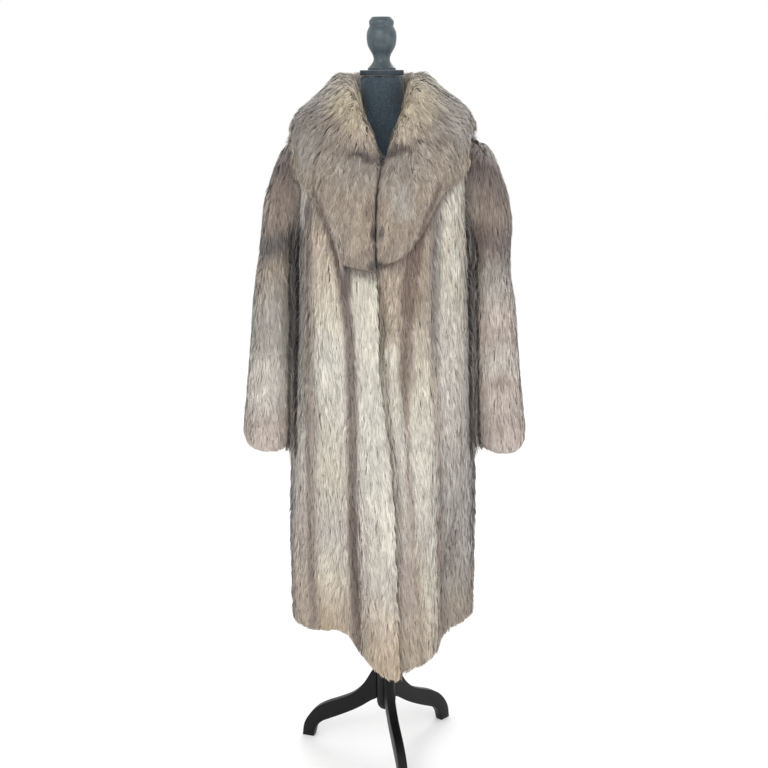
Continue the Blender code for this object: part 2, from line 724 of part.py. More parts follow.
def station_ends(row, side):
    """The angles and heights of a station's neck edge and free edge on the coat's outer surface."""
    in_z, out_z = row["in_z"], row["out_z"]
    if row["in_angle"] >= 0:
        in_angle = side * row["in_angle"]
    else:
        lapped = FRONT_EDGE.at(in_z)["x"] + side * (NECKLINE.at(in_z)["half_gap"] + 0.0012)
        in_angle = angle_at_x(lapped, in_z)
    if row["behind"] > 0.5:
        seek = sorted((91 * side, 180 * side))
        out_angle = angle_at_x(side * row["out_x"], out_z, *seek)
    elif row["behind"] > -0.5:
        out_angle = 90.0 * side
    else:
        seek = sorted((0, 89 * side))
        out_angle = angle_at_x(side * row["out_x"], out_z, *seek)
    return in_angle, in_z, out_angle, out_z


def collar_section(row, ends):
    """The closed outline of the collar at one station: stand, roll, fall, free edge and underside."""
    in_angle, in_z, out_angle, out_z = ends

    def on_coat(share, spread_normal=True):
        angle, z = in_angle + (out_angle - in_angle) * share, in_z + (out_z - in_z) * share
        return body_point(angle, z), (soft_normal if spread_normal else body_normal)(angle, z)

    base, normal = on_coat(0.0, False)
    ahead = unit(on_coat(0.08)[0] - base)
    lean = row["lean"]
    up = unit(np.array([0.0, 0.0, 1.0]) * (1 - lean) + normal * lean)
    level = unit(ahead - up * (ahead @ up))
    length = np.linalg.norm(on_coat(1.0)[0] - base)
    start = base + normal * NECK_LIFT
    roll = row["roll"]
    points = [
        start + ahead * 0.002,
        start + up * roll * 0.42 - level * 0.001 * (1 - lean),
        start + up * roll * 0.80 + level * 0.002,
        start + up * roll * 0.97 + level * min(0.009, 0.1 * length),
        start + up * roll * 0.97 + level * min(0.026, 0.3 * length),
    ]
    for share, fullness in zip(FALL_SHARES, FALL_FULLNESS):
        p, n = on_coat(share)
        points.append(p + n * row["middle"] * fullness)
    edge, edge_normal = on_coat(1.0)
    out = unit(edge - on_coat(0.92)[0])
    thick = row["edge"]
    points.append(edge + edge_normal * thick * 0.80 + out * 0.004)
    points.append(edge + edge_normal * (UNDERSIDE_LIFT * 0.75 + thick * 0.25) + out * 0.005)
    for share in (0.96, 0.81, 0.66, 0.51, 0.37, 0.26):
        p, n = on_coat(share)
        points.append(p + n * UNDERSIDE_LIFT)
    slit, slit_normal = on_coat(0.20)
    points.append(slit + slit_normal * (UNDERSIDE_LIFT + 0.45 * roll * (1 - lean)))
    p, n = on_coat(0.12)
    points.append(p + n * (NECK_LIFT + 0.4 * UNDERSIDE_LIFT))
    return points


def blended(stations, side, first, last, steps):
    """Sections from station first to last, with smooth steps between the rows of the table."""
    rows = [dict(zip(STATION_COLUMNS, values)) for values in stations]
    ends = np.array([station_ends(r, side) for r in rows])
    columns = STATION_COLUMNS[1:]
    values = np.array([[r[c] for c in columns] for r in rows], float)
    keys = np.arange(len(rows))
    reader = Table("key " + " ".join(columns) + " a b c d", np.column_stack([keys, values, ends]))
    sections = []
    for k in range(steps + 1):
        row = reader.at(first + (last - first) * k / steps)
        sections.append(collar_section(row, (row["a"], row["b"], row["c"], row["d"])))
    return sections


def moved(section, direction, distance):
    return [p + direction * distance for p in section]


def make_collar():
    halves = {}
    for side in (1, -1):
        stations = COLLAR_STATIONS[side]
        halves[side] = blended(stations, side, 0, V_STATION, 20)
        lapel = blended(stations, side, V_STATION, LAST_STATION, 9)
        along = unit(np.mean(lapel[1], axis=0) - np.mean(lapel[0], axis=0))
        lapel[0] = moved(lapel[0], along, HALF_SEAM)
        halves[side][-1] = moved(halves[side][-1], along, -HALF_SEAM)
        stack_of_rings("lapel_left" if side > 0 else "lapel_right", lapel, "fur_collar", 60.0, laced_ends=True)
    rings = halves[-1][:0:-1] + halves[1]
    stack_of_rings("collar", rings, "fur_collar", 60.0, laced_ends=True)


# ---------------------------------------------------------------- dress form and stand
BUST = Table(
    "z half_width front back squareness",
    [
        (0.800, 0.132, 0.086, 0.094, 2.2),
        (0.806, 0.142, 0.094, 0.102, 2.2),
        (0.825, 0.152, 0.102, 0.110, 2.2),
        (0.880, 0.158, 0.106, 0.116, 2.2),
        (0.960, 0.146, 0.100, 0.106, 2.2),
        (1.060, 0.117, 0.088, 0.084, 2.2),
        (1.130, 0.124, 0.100, 0.086, 2.2),
        (1.200, 0.138, 0.118, 0.090, 2.2),
        (1.250, 0.143, 0.112, 0.092, 2.3),
        (1.300, 0.148, 0.094, 0.090, 2.4),
        (1.335, 0.150, 0.076, 0.082, 2.4),
        (1.358, 0.147, 0.062, 0.072, 2.4),
        (1.372, 0.138, 0.053, 0.064, 2.3),
        (1.386, 0.1145, 0.0475, 0.0565, 2.2),
        (1.399, 0.0855, 0.0458, 0.0530, 2.1),
        (1.412, 0.0609, 0.0443, 0.0503, 2.0),
        (1.428, 0.048, 0.041, 0.045, 2.0),
        (1.460, 0.0455, 0.041, 0.045, 2.0),
        (1.4935, 0.0445, 0.042, 0.045, 2.0),
    ],
)
BUST_SIDES = 28
# The turned finial above the neck cap: height over the cap and radius.
FINIAL_PROFILE = [
    (0.0000, 0.0280),
    (0.0040, 0.0280),
    (0.0080, 0.0235),
    (0.0130, 0.0195),
    (0.0180, 0.0166),
    (0.0235, 0.0164),
    (0.0310, 0.0190),
    (0.0390, 0.0238),
    (0.0470, 0.0276),
    (0.0560, 0.0294),
    (0.0660, 0.0298),
    (0.0750, 0.0284),
    (0.0820, 0.0252),
    (0.0845, 0.0238),
    (0.0880, 0.0246),
    (0.0920, 0.0248),
    (0.0955, 0.0240),
    (0.0995, 0.0200),
    (0.1020, 0.0165),
]
# The leg's side view: radius from the pole's axis and height, along the top from the hub to the foot and back below.
LEG_TOP = [
    (0.205,),
    (0.031, 0.190),
    (0.048, 0.160),
    (0.062, 0.141),
    (0.079, 0.125),
    (0.098, 0.113),
    (0.120, 0.102),
    (0.145, 0.090),
    (0.169, 0.074),
    (0.188, 0.052),
    (0.200, 0.028),
    (0.204, FLOOR_Z),
]
LEG_BOTTOM = [
    (0.177, FLOOR_Z),
    (0.170, 0.024),
    (0.156, 0.041),
    (0.135, 0.053),
    (0.108, 0.067),
    (0.078, 0.084),
    (0.055, 0.099),
    (0.034, 0.115),
    (0.123,),
]


def ring(z, half_width, front, back, squareness, sides):
    points = []
    power = 2 / squareness
    for k in range(sides):
        turn = 2 * math.pi * k / sides
        s, c = math.sin(turn), math.cos(turn)
        depth = front if c > 0 else back
        points.append(
            (half_width * math.copysign(abs(s) ** power, s), -depth * math.copysign(abs(c) ** power, c), z)
        )
    return points


def turned(name, profile, finish, sides=24, bottom=0.0):
    """A turned piece through rings of (height, radius)."""
    rings = [ring(bottom + z, r, r, r, 2.0, sides) for z, r in profile]
    return stack_of_rings(name, rings, finish, 50.0)


def make_form():
    rows = [ring(z, w, f, b, n, BUST_SIDES) for z, w, f, b, n in BUST.values.tolist()]
    stack_of_rings("bust", rows, "form_cloth", 60.0)
    cap = 0.0440
    bevel = 0.0020
    turned(
        "neck_cap",
        [
            (0.0, cap - bevel),
            (bevel, cap),
            (NECK_CAP_THICKNESS - bevel, cap),
            (NECK_CAP_THICKNESS, cap - bevel),
        ],
        "stand_wood",
        bottom=NECK_TOP_Z + SEAM_GAP,
    )
    turned(
        "finial",
        FINIAL_PROFILE,
        "stand_wood",
        bottom=NECK_TOP_Z + NECK_CAP_THICKNESS + 2 * SEAM_GAP,
    )
    length = BUST_BOTTOM_Z - HUB_TOP_Z - 2 * SEAM_GAP
    turned("pole", [(0.0, POLE_RADIUS), (length, POLE_RADIUS)], "stand_wood", 16, HUB_TOP_Z + SEAM_GAP)


def hub_outline(radius):
    """The hub's round section with a flat seat for each leg."""
    half = math.degrees(math.asin(LEG_THICKNESS / 2 / HUB_RADIUS)) + 3.0
    points = []
    seats = sorted(LEG_ANGLES.values())
    for order, angle in enumerate(seats):
        for turn in (angle - half, angle + half):
            points.append(turn)
        free = (seats[(order + 1) % len(seats)] - angle) % 360 - 2 * half
        for k in (1, 2, 3):
            points.append(angle + half + free * k / 4)
    return [(radius * math.cos(math.radians(a)), radius * math.sin(math.radians(a))) for a in points]


def hub_seat():
    """How far the flat seats lie from the hub's axis."""
    half = math.asin(LEG_THICKNESS / 2 / HUB_RADIUS) + math.radians(3.0)
    return HUB_RADIUS * math.cos(half)


def make_hub():
    rounding_rows = [
        (HUB_BOTTOM_Z, 0.55),
        (HUB_BOTTOM_Z + 0.003, 0.80),
        (HUB_BOTTOM_Z + 0.009, 0.95),
        (HUB_BOTTOM_Z + 0.018, 1.0),
        (HUB_TOP_Z - 0.004, 1.0),
        (HUB_TOP_Z, 0.85),
    ]
    rings = [[(x, y, z) for x, y in hub_outline(HUB_RADIUS * share)] for z, share in rounding_rows]
    stack_of_rings("hub", rings, "stand_wood", 35.0)


def make_leg(name, angle):
    """A shaped board from the hub's seat down to the floor."""
    inner = hub_seat() + SEAM_GAP
    top = [(inner, *LEG_TOP[0])] + LEG_TOP[1:]
    bottom = LEG_BOTTOM[:-1] + [(inner, *LEG_BOTTOM[-1])]
    outline = top + bottom
    ux, uy = math.cos(math.radians(angle)), math.sin(math.radians(angle))
    bevel = 0.0025

    def face(offset, inset):
        points = []
        count = len(outline)
        for k, (r, z) in enumerate(outline):
            before, after = np.array(outline[k - 1]), np.array(outline[(k + 1) % count])
            tangent = unit(after - before)
            inward = np.array([tangent[1], -tangent[0]])
            shift = inward * inset
            flat_foot = z == FLOOR_Z
            at_hub = r == inner
            r2 = r if at_hub else r + shift[0]
            z2 = z if flat_foot else z + (shift[1] if not at_hub else 0.0)
            points.append((r2 * ux - offset * uy, r2 * uy + offset * ux, z2))
        return points

    half = LEG_THICKNESS / 2
    rings = [face(-half, bevel), face(-half + bevel, 0.0), face(half - bevel, 0.0), face(half, bevel)]
    stack_of_rings(name, rings, "stand_wood", 35.0)


def main():
    clear_scene()
    make_body()
    make_sleeve("sleeve_right", -1)
    make_sleeve("sleeve_left", 1)
    make_collar()
    make_form()
    make_hub()
    for name, angle in LEG_ANGLES.items():
        make_leg(name, angle)


main()
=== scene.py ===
# %% [markdown]
# # A fox fur coat on its dress form
#
# The coat is worn by a limbless dress form on a turned wooden stand. Its solids come from the packed
# model, and this notebook dresses them. A fur coat is made of pelts sewn side by side, so each cut piece
# gets a thin hide, and the fur grows out of it as thousands of small tapered locks. The stand's pieces
# are turned and sawn again with finer edges, painted, and set where the solids are.

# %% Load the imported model
import math

import bmesh
import bpy
import numpy as np
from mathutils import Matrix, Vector
from mathutils.bvhtree import BVHTree
from mathutils.kdtree import KDTree


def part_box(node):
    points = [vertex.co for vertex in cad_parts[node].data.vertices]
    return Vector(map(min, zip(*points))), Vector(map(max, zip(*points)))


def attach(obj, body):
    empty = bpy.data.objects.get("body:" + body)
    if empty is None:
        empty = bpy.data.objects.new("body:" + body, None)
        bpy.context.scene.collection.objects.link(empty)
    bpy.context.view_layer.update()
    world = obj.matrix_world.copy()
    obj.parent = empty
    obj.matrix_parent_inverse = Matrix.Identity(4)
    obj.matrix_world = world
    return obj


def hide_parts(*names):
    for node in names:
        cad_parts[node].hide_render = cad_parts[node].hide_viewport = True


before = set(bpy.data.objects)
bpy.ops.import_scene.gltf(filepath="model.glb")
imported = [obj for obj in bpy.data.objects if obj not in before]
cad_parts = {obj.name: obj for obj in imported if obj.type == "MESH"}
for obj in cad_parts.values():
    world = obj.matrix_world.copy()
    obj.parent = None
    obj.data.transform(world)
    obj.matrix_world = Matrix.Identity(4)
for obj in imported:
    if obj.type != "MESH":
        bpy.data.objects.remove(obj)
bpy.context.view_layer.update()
print("nodes:", sorted(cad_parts))

# %% [markdown]
# ## The camera
#
# The coat is seen from straight in front, from a little above its collar. The camera stands 2.6 m away
# and looks down by 14 degrees, so the stand's front foot comes close to the lower edge of the view.

# %% Set the camera
CAMERA_PLACE = (0.0, -2.58, 1.50)
CAMERA_PITCH = math.radians(90 - 14)
CAMERA_ROLL = math.radians(-0.4)
FOCAL_LENGTH_MM = 58.6
SENSOR_WIDTH_MM = 36.0
FARTHEST_SEEN = 60.0

camera = bpy.data.objects.new("camera", bpy.data.cameras.new("camera"))
bpy.context.scene.collection.objects.link(camera)
bpy.context.scene.camera = camera
camera.location = CAMERA_PLACE
camera.rotation_euler = (CAMERA_PITCH, 0.0, 0.0)
camera.rotation_euler.rotate_axis("Z", CAMERA_ROLL)
camera.data.lens = FOCAL_LENGTH_MM
camera.data.sensor_width = SENSOR_WIDTH_MM
camera.data.clip_end = FARTHEST_SEEN
print("camera at", CAMERA_PLACE)

# %% [markdown]
# ## Light
#
# A soft studio light shows fur best: a broad key light from the front, a fill from the other side, a rim
# light from behind, and a pale sky all round.

# %% Light the studio
world = bpy.data.worlds.new("studio")
bpy.context.scene.world = world
world.use_nodes = True
world.node_tree.nodes["Background"].inputs["Color"].default_value = (1.0, 1.0, 1.0, 1.0)
world.node_tree.nodes["Background"].inputs["Strength"].default_value = 1.0
bpy.context.scene.view_settings.view_transform = "Standard"

LAMPS = {  # place, aimed at, width, height, watts
    "key": ((-1.1, -3.4, 2.9), (0.0, 0.0, 0.95), 2.2, 2.2, 50.0),
    "fill": ((2.6, -2.2, 1.6), (0.0, 0.0, 0.90), 2.0, 2.4, 22.0),
    "rim": ((0.6, 2.8, 2.8), (0.0, 0.0, 1.10), 2.0, 1.6, 30.0),
}
for lamp_name, (place, target, width, height, watts) in LAMPS.items():
    lamp = bpy.data.lights.new(lamp_name, "AREA")
    lamp.shape = "RECTANGLE"
    lamp.size = width
    lamp.size_y = height
    lamp.energy = watts
    lamp_object = bpy.data.objects.new(lamp_name, lamp)
    lamp_object.location = place
    aim = Vector(target) - Vector(place)
    lamp_object.rotation_euler = aim.to_track_quat("-Z", "Y").to_euler()
    bpy.context.scene.collection.objects.link(lamp_object)
print("lamps:", sorted(LAMPS))

# %% [markdown]
# ## Colours
#
# Colours are easier to choose as a screen shows them, from 0 to 255. Blender's sockets and attributes
# hold linear light, so one helper turns the first into the second. A fox coat needs many near greys, so
# each has a name.


# %% Name the colours
def linear(*screen):
    """A screen colour, 0 to 255, as linear light."""
    share = np.asarray(screen, float) / 255
    return np.where(share <= 0.04045, share / 12.92, ((share + 0.055) / 1.055) ** 2.4)


FUR_COLOURS = {
    "white": (220, 217, 208), "cream": (209, 205, 193), "pearl": (199, 196, 186), "bone": (190, 187, 173),
    "ivory": (206, 198, 183), "yellow": (196, 185, 157), "gold": (187, 171, 149),
    "silver": (197, 191, 182), "rose": (192, 180, 171), "sand": (190, 177, 160), "blush": (178, 166, 157),
    "tan": (174, 160, 144), "grey": (168, 163, 155), "fawn": (159, 146, 132), "ash": (150, 142, 134),
    "taupe": (143, 130, 119), "slate": (130, 125, 121), "brown": (126, 110, 99), "plum": (114, 101, 96),
    "umber": (107, 92, 84), "smoke": (98, 95, 94), "soot": (88, 78, 74), "ink": (70, 60, 57),
}
print(len(FUR_COLOURS), "fur colours")

# %% [markdown]
# ## Finishes
#
# Most finishes here have the same parts: a Principled shader, fine noises that make its colour or its
# gloss uneven, and a bump; the floor's is the shader alone. Four small helpers make such a finish, add a
# shader node with its sockets set, add a ramp of two colours, and join sockets.


# %% Helpers for finishes
def finish(name, colour, roughness, **settings):
    """A material, its node tree and its Principled shader. Sockets are named with _ for a space."""
    made = bpy.data.materials.new(name)
    made.use_nodes = True
    shader = made.node_tree.nodes["Principled BSDF"]
    shader.inputs["Base Color"].default_value = (*colour, 1.0)
    shader.inputs["Roughness"].default_value = roughness
    for socket, value in settings.items():
        shader.inputs[socket.replace("_", " ")].default_value = value
    return made, made.node_tree, shader


def add(tree, kind, **settings):
    """A new shader node with its sockets set."""
    node = tree.nodes.new("ShaderNode" + kind)
    for socket, value in settings.items():
        node.inputs[socket.replace("_", " ")].default_value = value
    return node


def add_ramp(tree, dark, pale, low=0.0, high=1.0):
    """A ramp from a dark to a pale screen colour."""
    ramp = tree.nodes.new("ShaderNodeValToRGB")
    for stop, place, colour in zip(ramp.color_ramp.elements, (low, high), (dark, pale)):
        stop.position = place
        stop.color = (*linear(*colour), 1.0)
    return ramp


def join(tree, *wires):
    """Each wire is a node, its output, the next node and its input."""
    for source, output, target, socket in wires:
        tree.links.new(source.outputs[output], target.inputs[socket])


print("finishes are made of a shader, noises and bumps")

# %% [markdown]
# ## The floor
#
# The coat stands on a plain white sheet. It is one flat square, so large that its edges stay out of
# sight.

# %% Lay the floor
FLOOR_HALF = 20.0
FLOOR_STRETCH = 1.15  # it's longer than wide
FLOOR_MIDDLE_Y = 17.0  # most of it lies behind the stand

floor_paint = finish("floor_paint", linear(255, 255, 255), 0.9)[0]
sheet = bmesh.new()
bmesh.ops.create_grid(sheet, x_segments=1, y_segments=1, size=FLOOR_HALF)
bmesh.ops.scale(sheet, verts=sheet.verts, vec=(1.0, FLOOR_STRETCH, 1.0))
bmesh.ops.translate(sheet, verts=sheet.verts, vec=(0.0, FLOOR_MIDDLE_Y, 0.0))
floor_mesh = bpy.data.meshes.new("floor")
sheet.to_mesh(floor_mesh)
sheet.free()
floor = bpy.data.objects.new("floor", floor_mesh)
floor.data.materials.append(floor_paint)
bpy.context.scene.collection.objects.link(floor)
print("floor laid")

# %% [markdown]
# ## The cut pieces
#
# Eight pieces are cut and sewn: two fronts, the back, two sleeves, the collar and two lapels. Each
# solid's mesh comes as loose triangles, so a copy of it is merged first. A search tree of each copy
# answers two questions fast: which point of the surface is nearest, and what a ray meets first.

# %% Merge a copy of each solid
OVERLAYS = ["collar", "lapel_right", "lapel_left"]  # these lie on the others
CLOTH = ["front_right", "front_left", "back", "sleeve_right", "sleeve_left", *OVERLAYS]
MERGE = 1e-5


def merged(node):
    """A bmesh of a node's mesh with its doubled points merged."""
    copy = bmesh.new()
    copy.from_mesh(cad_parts[node].data)
    bmesh.ops.remove_doubles(copy, verts=copy.verts, dist=MERGE)
    bmesh.ops.triangulate(copy, faces=copy.faces)
    copy.normal_update()
    for table in (copy.verts, copy.faces):
        table.ensure_lookup_table()
    return copy


class Panel:
    """One cut piece's outer form: its points, normals, triangles and search tree."""

    def __init__(self, node):
        copy = merged(node)
        self.name = node
        self.points = np.array([v.co for v in copy.verts])
        self.normals = np.array([v.normal for v in copy.verts])
        self.triangles = np.array([[v.index for v in f.verts] for f in copy.faces])
        self.tree = BVHTree.FromBMesh(copy)
        copy.free()


panels = {node: Panel(node) for node in CLOTH}
print({node: len(panel.triangles) for node, panel in panels.items()})

# %% [markdown]
# ### Small helpers
#
# The fur is worked out for thousands of roots at once, so directions and points are kept as rows of
# numbers.


# %% Work with rows of numbers
WAVES = 9
WAVE_PACE = 2.4  # radians of a usual wave in one grain
WAVE_HEIGHT = 4.0  # the height that so many waves seldom pass together


def ripple(points, grain, seed):
    """Slow random waves between about -1 and 1, with their size along x, y and z in metres."""
    rng = np.random.default_rng(seed)
    total = np.zeros(len(points))
    for _wave in range(WAVES):
        pace = rng.normal(size=3) * WAVE_PACE / np.asarray(grain)
        total += np.sin(points @ pace + rng.uniform(0, 2 * math.pi))
    return total / WAVE_HEIGHT


def smooth(low, high, value):
    """0 below low and 1 above high, with a soft step between."""
    share = np.clip((value - low) / (high - low), 0.0, 1.0)
    return share * share * (3 - 2 * share)


def dot(a, b):
    """How far each row of a points along the same row of b."""
    return np.einsum("ij,ij->i", a, b)[:, None]


def unit(vectors):
    """The same directions, one metre long."""
    return vectors / np.maximum(np.linalg.norm(vectors, axis=-1, keepdims=True), 1e-9)


def along(line, heights):
    """A line's x at each height."""
    return np.interp(heights, [z for z, _x in line], [x for _z, x in line])


print("helpers: ripple, smooth, dot, unit, along")

# %% [markdown]
# ## Which side is out
#
# Fur grows on the outside alone. A face looks out when its normal points away from the middle of the
# body, or of the sleeve. The collar is fur all round, apart from its underside. Faces that lie against a
# neighbour stay bare: a short ray from them meets the next piece.

# %% Find the furred faces
SHOULDER_MIDDLE_Z = 1.25
SLEEVE_MIDDLE_Z = 1.13
SLEEVE_MIDDLE_X = 0.2245
SLEEVE_SPLAY = 0.07  # how far the sleeve's middle moves out for each metre down
SLEEVE_SPLAY_Z = 1.10
COLLAR_RIM = -0.30  # the collar's faces that look down more than this are its rim
LAPEL_RIM = 0.40  # the lapels' faces that look forward or to the closure less than this are bare rims
BODY_RIM = 0.08  # the other pieces' faces that look out less than this are rims or the inside


def middle_of(node, points):
    """The middle line of the body or sleeve beside each point."""
    middle = np.zeros_like(points)
    if node.startswith("sleeve"):
        side = -1 if node.endswith("right") else 1
        middle[:, 2] = np.minimum(points[:, 2], SLEEVE_MIDDLE_Z)
        below = np.maximum(SLEEVE_SPLAY_Z - points[:, 2], 0.0)
        middle[:, 0] = side * (SLEEVE_MIDDLE_X + SLEEVE_SPLAY * below)
    else:
        middle[:, 2] = np.minimum(points[:, 2], SHOULDER_MIDDLE_Z)
    return middle


def looks_out(node, points, normals):
    """True where a face is on the furred side."""
    if node == "collar":
        return normals[:, 2] > COLLAR_RIM
    if node.startswith("lapel"):
        inward = normals[:, 0] if node.endswith("right") else -normals[:, 0]
        return (-normals[:, 1] > LAPEL_RIM) | (inward > LAPEL_RIM)
    away = unit(points - middle_of(node, points))
    return dot(away, normals)[:, 0] > BODY_RIM


def others(node):
    """The fronts, back and sleeves apart from one of them."""
    return [name for name in CLOTH if name not in OVERLAYS and name != node]


print("middles at", SHOULDER_MIDDLE_Z, "and", SLEEVE_MIDDLE_Z, "m")

# %% Find the faces that nothing lies on
UNDERSIDE_REACH = {"collar": 0.030, "lapel_right": 0.016, "lapel_left": 0.016}
OVERLAY_REACH = 0.006
SEAM_REACH = 0.003
RAY_START = 0.0001


def ray_gaps(points, normals, names, reach):
    """How far each ray runs to the nearest of the named pieces, or the reach where it meets none."""
    gaps = np.full(len(points), reach)
    for k, (point, normal) in enumerate(zip(points, normals)):
        start, ray = Vector(point + normal * RAY_START), Vector(normal)
        for name in names:
            hit = panels[name].tree.ray_cast(start, ray, gaps[k])
            if hit[0] is not None:
                gaps[k] = hit[3]
    return gaps


def uncovered(node, points, normals):
    """True where nothing lies on the surface."""
    if node in OVERLAYS:
        reach = UNDERSIDE_REACH[node]
        return ray_gaps(points, normals, others(node), reach) >= reach
    free = ray_gaps(points, normals, others(node), SEAM_REACH) >= SEAM_REACH
    return free & (ray_gaps(points, normals, OVERLAYS, OVERLAY_REACH) >= OVERLAY_REACH)


print("fur grows on", len(CLOTH), "pieces")

# %% Scatter roots over a piece
SPARE_ROOTS = 1.45  # more roots are drawn than grow, because the covered ones are dropped


def scatter(panel, count, rng):
    """Random points on the furred faces, spread evenly, with their normals."""
    corners = panel.points[panel.triangles]
    cross = np.cross(corners[:, 1] - corners[:, 0], corners[:, 2] - corners[:, 0])
    size = np.linalg.norm(cross, axis=1)
    flat = cross / np.maximum(size[:, None], 1e-12)
    out = looks_out(panel.name, corners.mean(axis=1), flat)
    weight = np.where(out, size, 0.0)
    picked = rng.choice(len(weight), size=int(count * SPARE_ROOTS), p=weight / weight.sum())
    a, b = rng.random((2, len(picked)))
    fold = a + b > 1
    a, b = np.where(fold, 1 - a, a), np.where(fold, 1 - b, b)
    shares = np.stack([1 - a - b, a, b], axis=1)[:, :, None]
    points = (corners[picked] * shares).sum(axis=1)
    normals = unit((panel.normals[panel.triangles[picked]] * shares).sum(axis=1))
    keep = uncovered(panel.name, points, flat[picked])
    return points[keep][:count], normals[keep][:count]


print("roots are scattered by each face's area")

# %% [markdown]
# ## Combing
#
# A furrier combs the hair down the coat, and out over the collar from the neck. Each root gets a
# direction along the surface: the wish to hang, turned into the surface, with slow waves that make the
# coat look stroked by hand. Beside a seam the hair leans across it, so the coats of two pieces close over
# their seam.

# %% The lines down the coat, as height and x
CLOSURE = [
    (0.25, 0.0345), (0.45, 0.0276), (0.60, 0.0221), (0.71, 0.0147), (0.83, 0.0015), (0.93, -0.0077),
    (1.14, -0.0132),
]
RIGHT_INNER = [
    (0.25, -0.0615), (0.53, -0.0664), (0.86, -0.064), (1.00, -0.0664), (1.10, -0.08), (1.20, -0.103),
    (1.26, -0.126), (1.305, -0.1485),
]
RIGHT_OUTER = [(0.25, -0.16), (0.70, -0.157), (1.20, -0.148)]
LEFT_INNER = [
    (0.25, 0.08), (0.55, 0.064), (0.75, 0.048), (0.83, 0.0425), (0.95, 0.042), (1.07, 0.05), (1.17, 0.059),
    (1.19, 0.0687), (1.236, 0.0848), (1.268, 0.1011), (1.29, 0.1089),
]
LEFT_OUTER = [(0.25, 0.1225), (0.49, 0.1191), (0.82, 0.1065), (1.00, 0.0999), (1.16, 0.1037), (1.27, 0.1062)]
HALF_WIDTH = [(0.24, 0.205), (0.50, 0.207), (0.78, 0.19), (1.03, 0.178), (1.20, 0.176), (1.378, 0.186)]
BACK_SHARES = (-0.60, -0.30, 0.0, 0.30, 0.60)  # the back's valleys, as shares of the half width
print("the fronts close", CLOSURE[0][1], "m from the middle at the hem")

# %% Comb the fur
DOWN = np.array([0.0, 0.0, -1.0])
LEVEL = np.array([1.0, 1.0, 0.0])
FAN_HEARTS = {  # the hair of the collar and lapels fans out from these points
    "collar": (0.0, -0.02, 1.480),
    "lapel_right": (-0.035, -0.10, 1.480),
    "lapel_left": (0.035, -0.10, 1.480),
}
FAN_DROOP = 0.45
FAN_OUTSIDE = (-0.35, 0.25)  # on the roll's inner side the hair runs up, and from here to here it turns over
FAN_STROKES = (0.20, (0.045, 0.045, 0.06), 11)  # how far the hair turns, the waves' size, their seed
BODY_FLARE = 0.25
BODY_STROKES = (0.15, (0.05, 0.05, 0.12), 12)
# The hair leans over the closure.
CLOSURE_LEANS = {"front_right": 0.22, "lapel_right": 0.30, "lapel_left": -0.30}
CLOSURE_LEAN_WIDTH = 0.030
SEAM_LEAN = 0.60
SEAM_LEAN_REACH = 0.014
TINY = 1e-6


def seam_neighbours(node):
    """The pieces that a front, the back or a sleeve is sewn to."""
    if node.startswith("front"):
        return ["back", "sleeve_right", "sleeve_left"]
    rest = ["back"] if node.startswith("sleeve") else ["sleeve_right", "sleeve_left"]
    return ["front_right", "front_left"] + rest


def combed(node, points, normals):
    """The direction in which the hair lies at each root."""
    if node in FAN_HEARTS:
        away = unit(points - FAN_HEARTS[node])
        level = unit((points - FAN_HEARTS[node]) * LEVEL)
        outside = smooth(*FAN_OUTSIDE, dot(level, normals))
        wish = away * outside + FAN_DROOP * DOWN * outside - DOWN * (1 - outside)
        amount, grain, seed = FAN_STROKES
    else:
        wish = DOWN + BODY_FLARE * unit((points - middle_of(node, points)) * LEVEL)
        amount, grain, seed = BODY_STROKES
        for name in seam_neighbours(node):
            for k, point in enumerate(points):
                seam, _normal, _face, gap = panels[name].tree.find_nearest(Vector(point), SEAM_LEAN_REACH)
                if seam is not None and gap > TINY:
                    wish[k] += SEAM_LEAN * (1 - gap / SEAM_LEAN_REACH) * (np.array(seam) - point) / gap
    if node in CLOSURE_LEANS:
        away = np.abs(along(CLOSURE, points[:, 2]) - points[:, 0])
        wish[:, 0] += CLOSURE_LEANS[node] * (1 - smooth(0.0, CLOSURE_LEAN_WIDTH, away))
    lying = unit(wish - normals * dot(wish, normals))
    side = np.cross(normals, lying)
    return unit(lying + side * (amount * ripple(points, grain, seed))[:, None])


print("hair fans out on", sorted(FAN_HEARTS))

# %% [markdown]
# ## Painting the pelts
#
# A fox pelt is pale along its middle and darker towards its sides, and the sewn coat repeats that from
# seam to seam. Each pelt has a short list of rows: a height, the colour of its middle and the colour of
# its sides. An image could hold this too, but rows of named colours are easy to read and change.

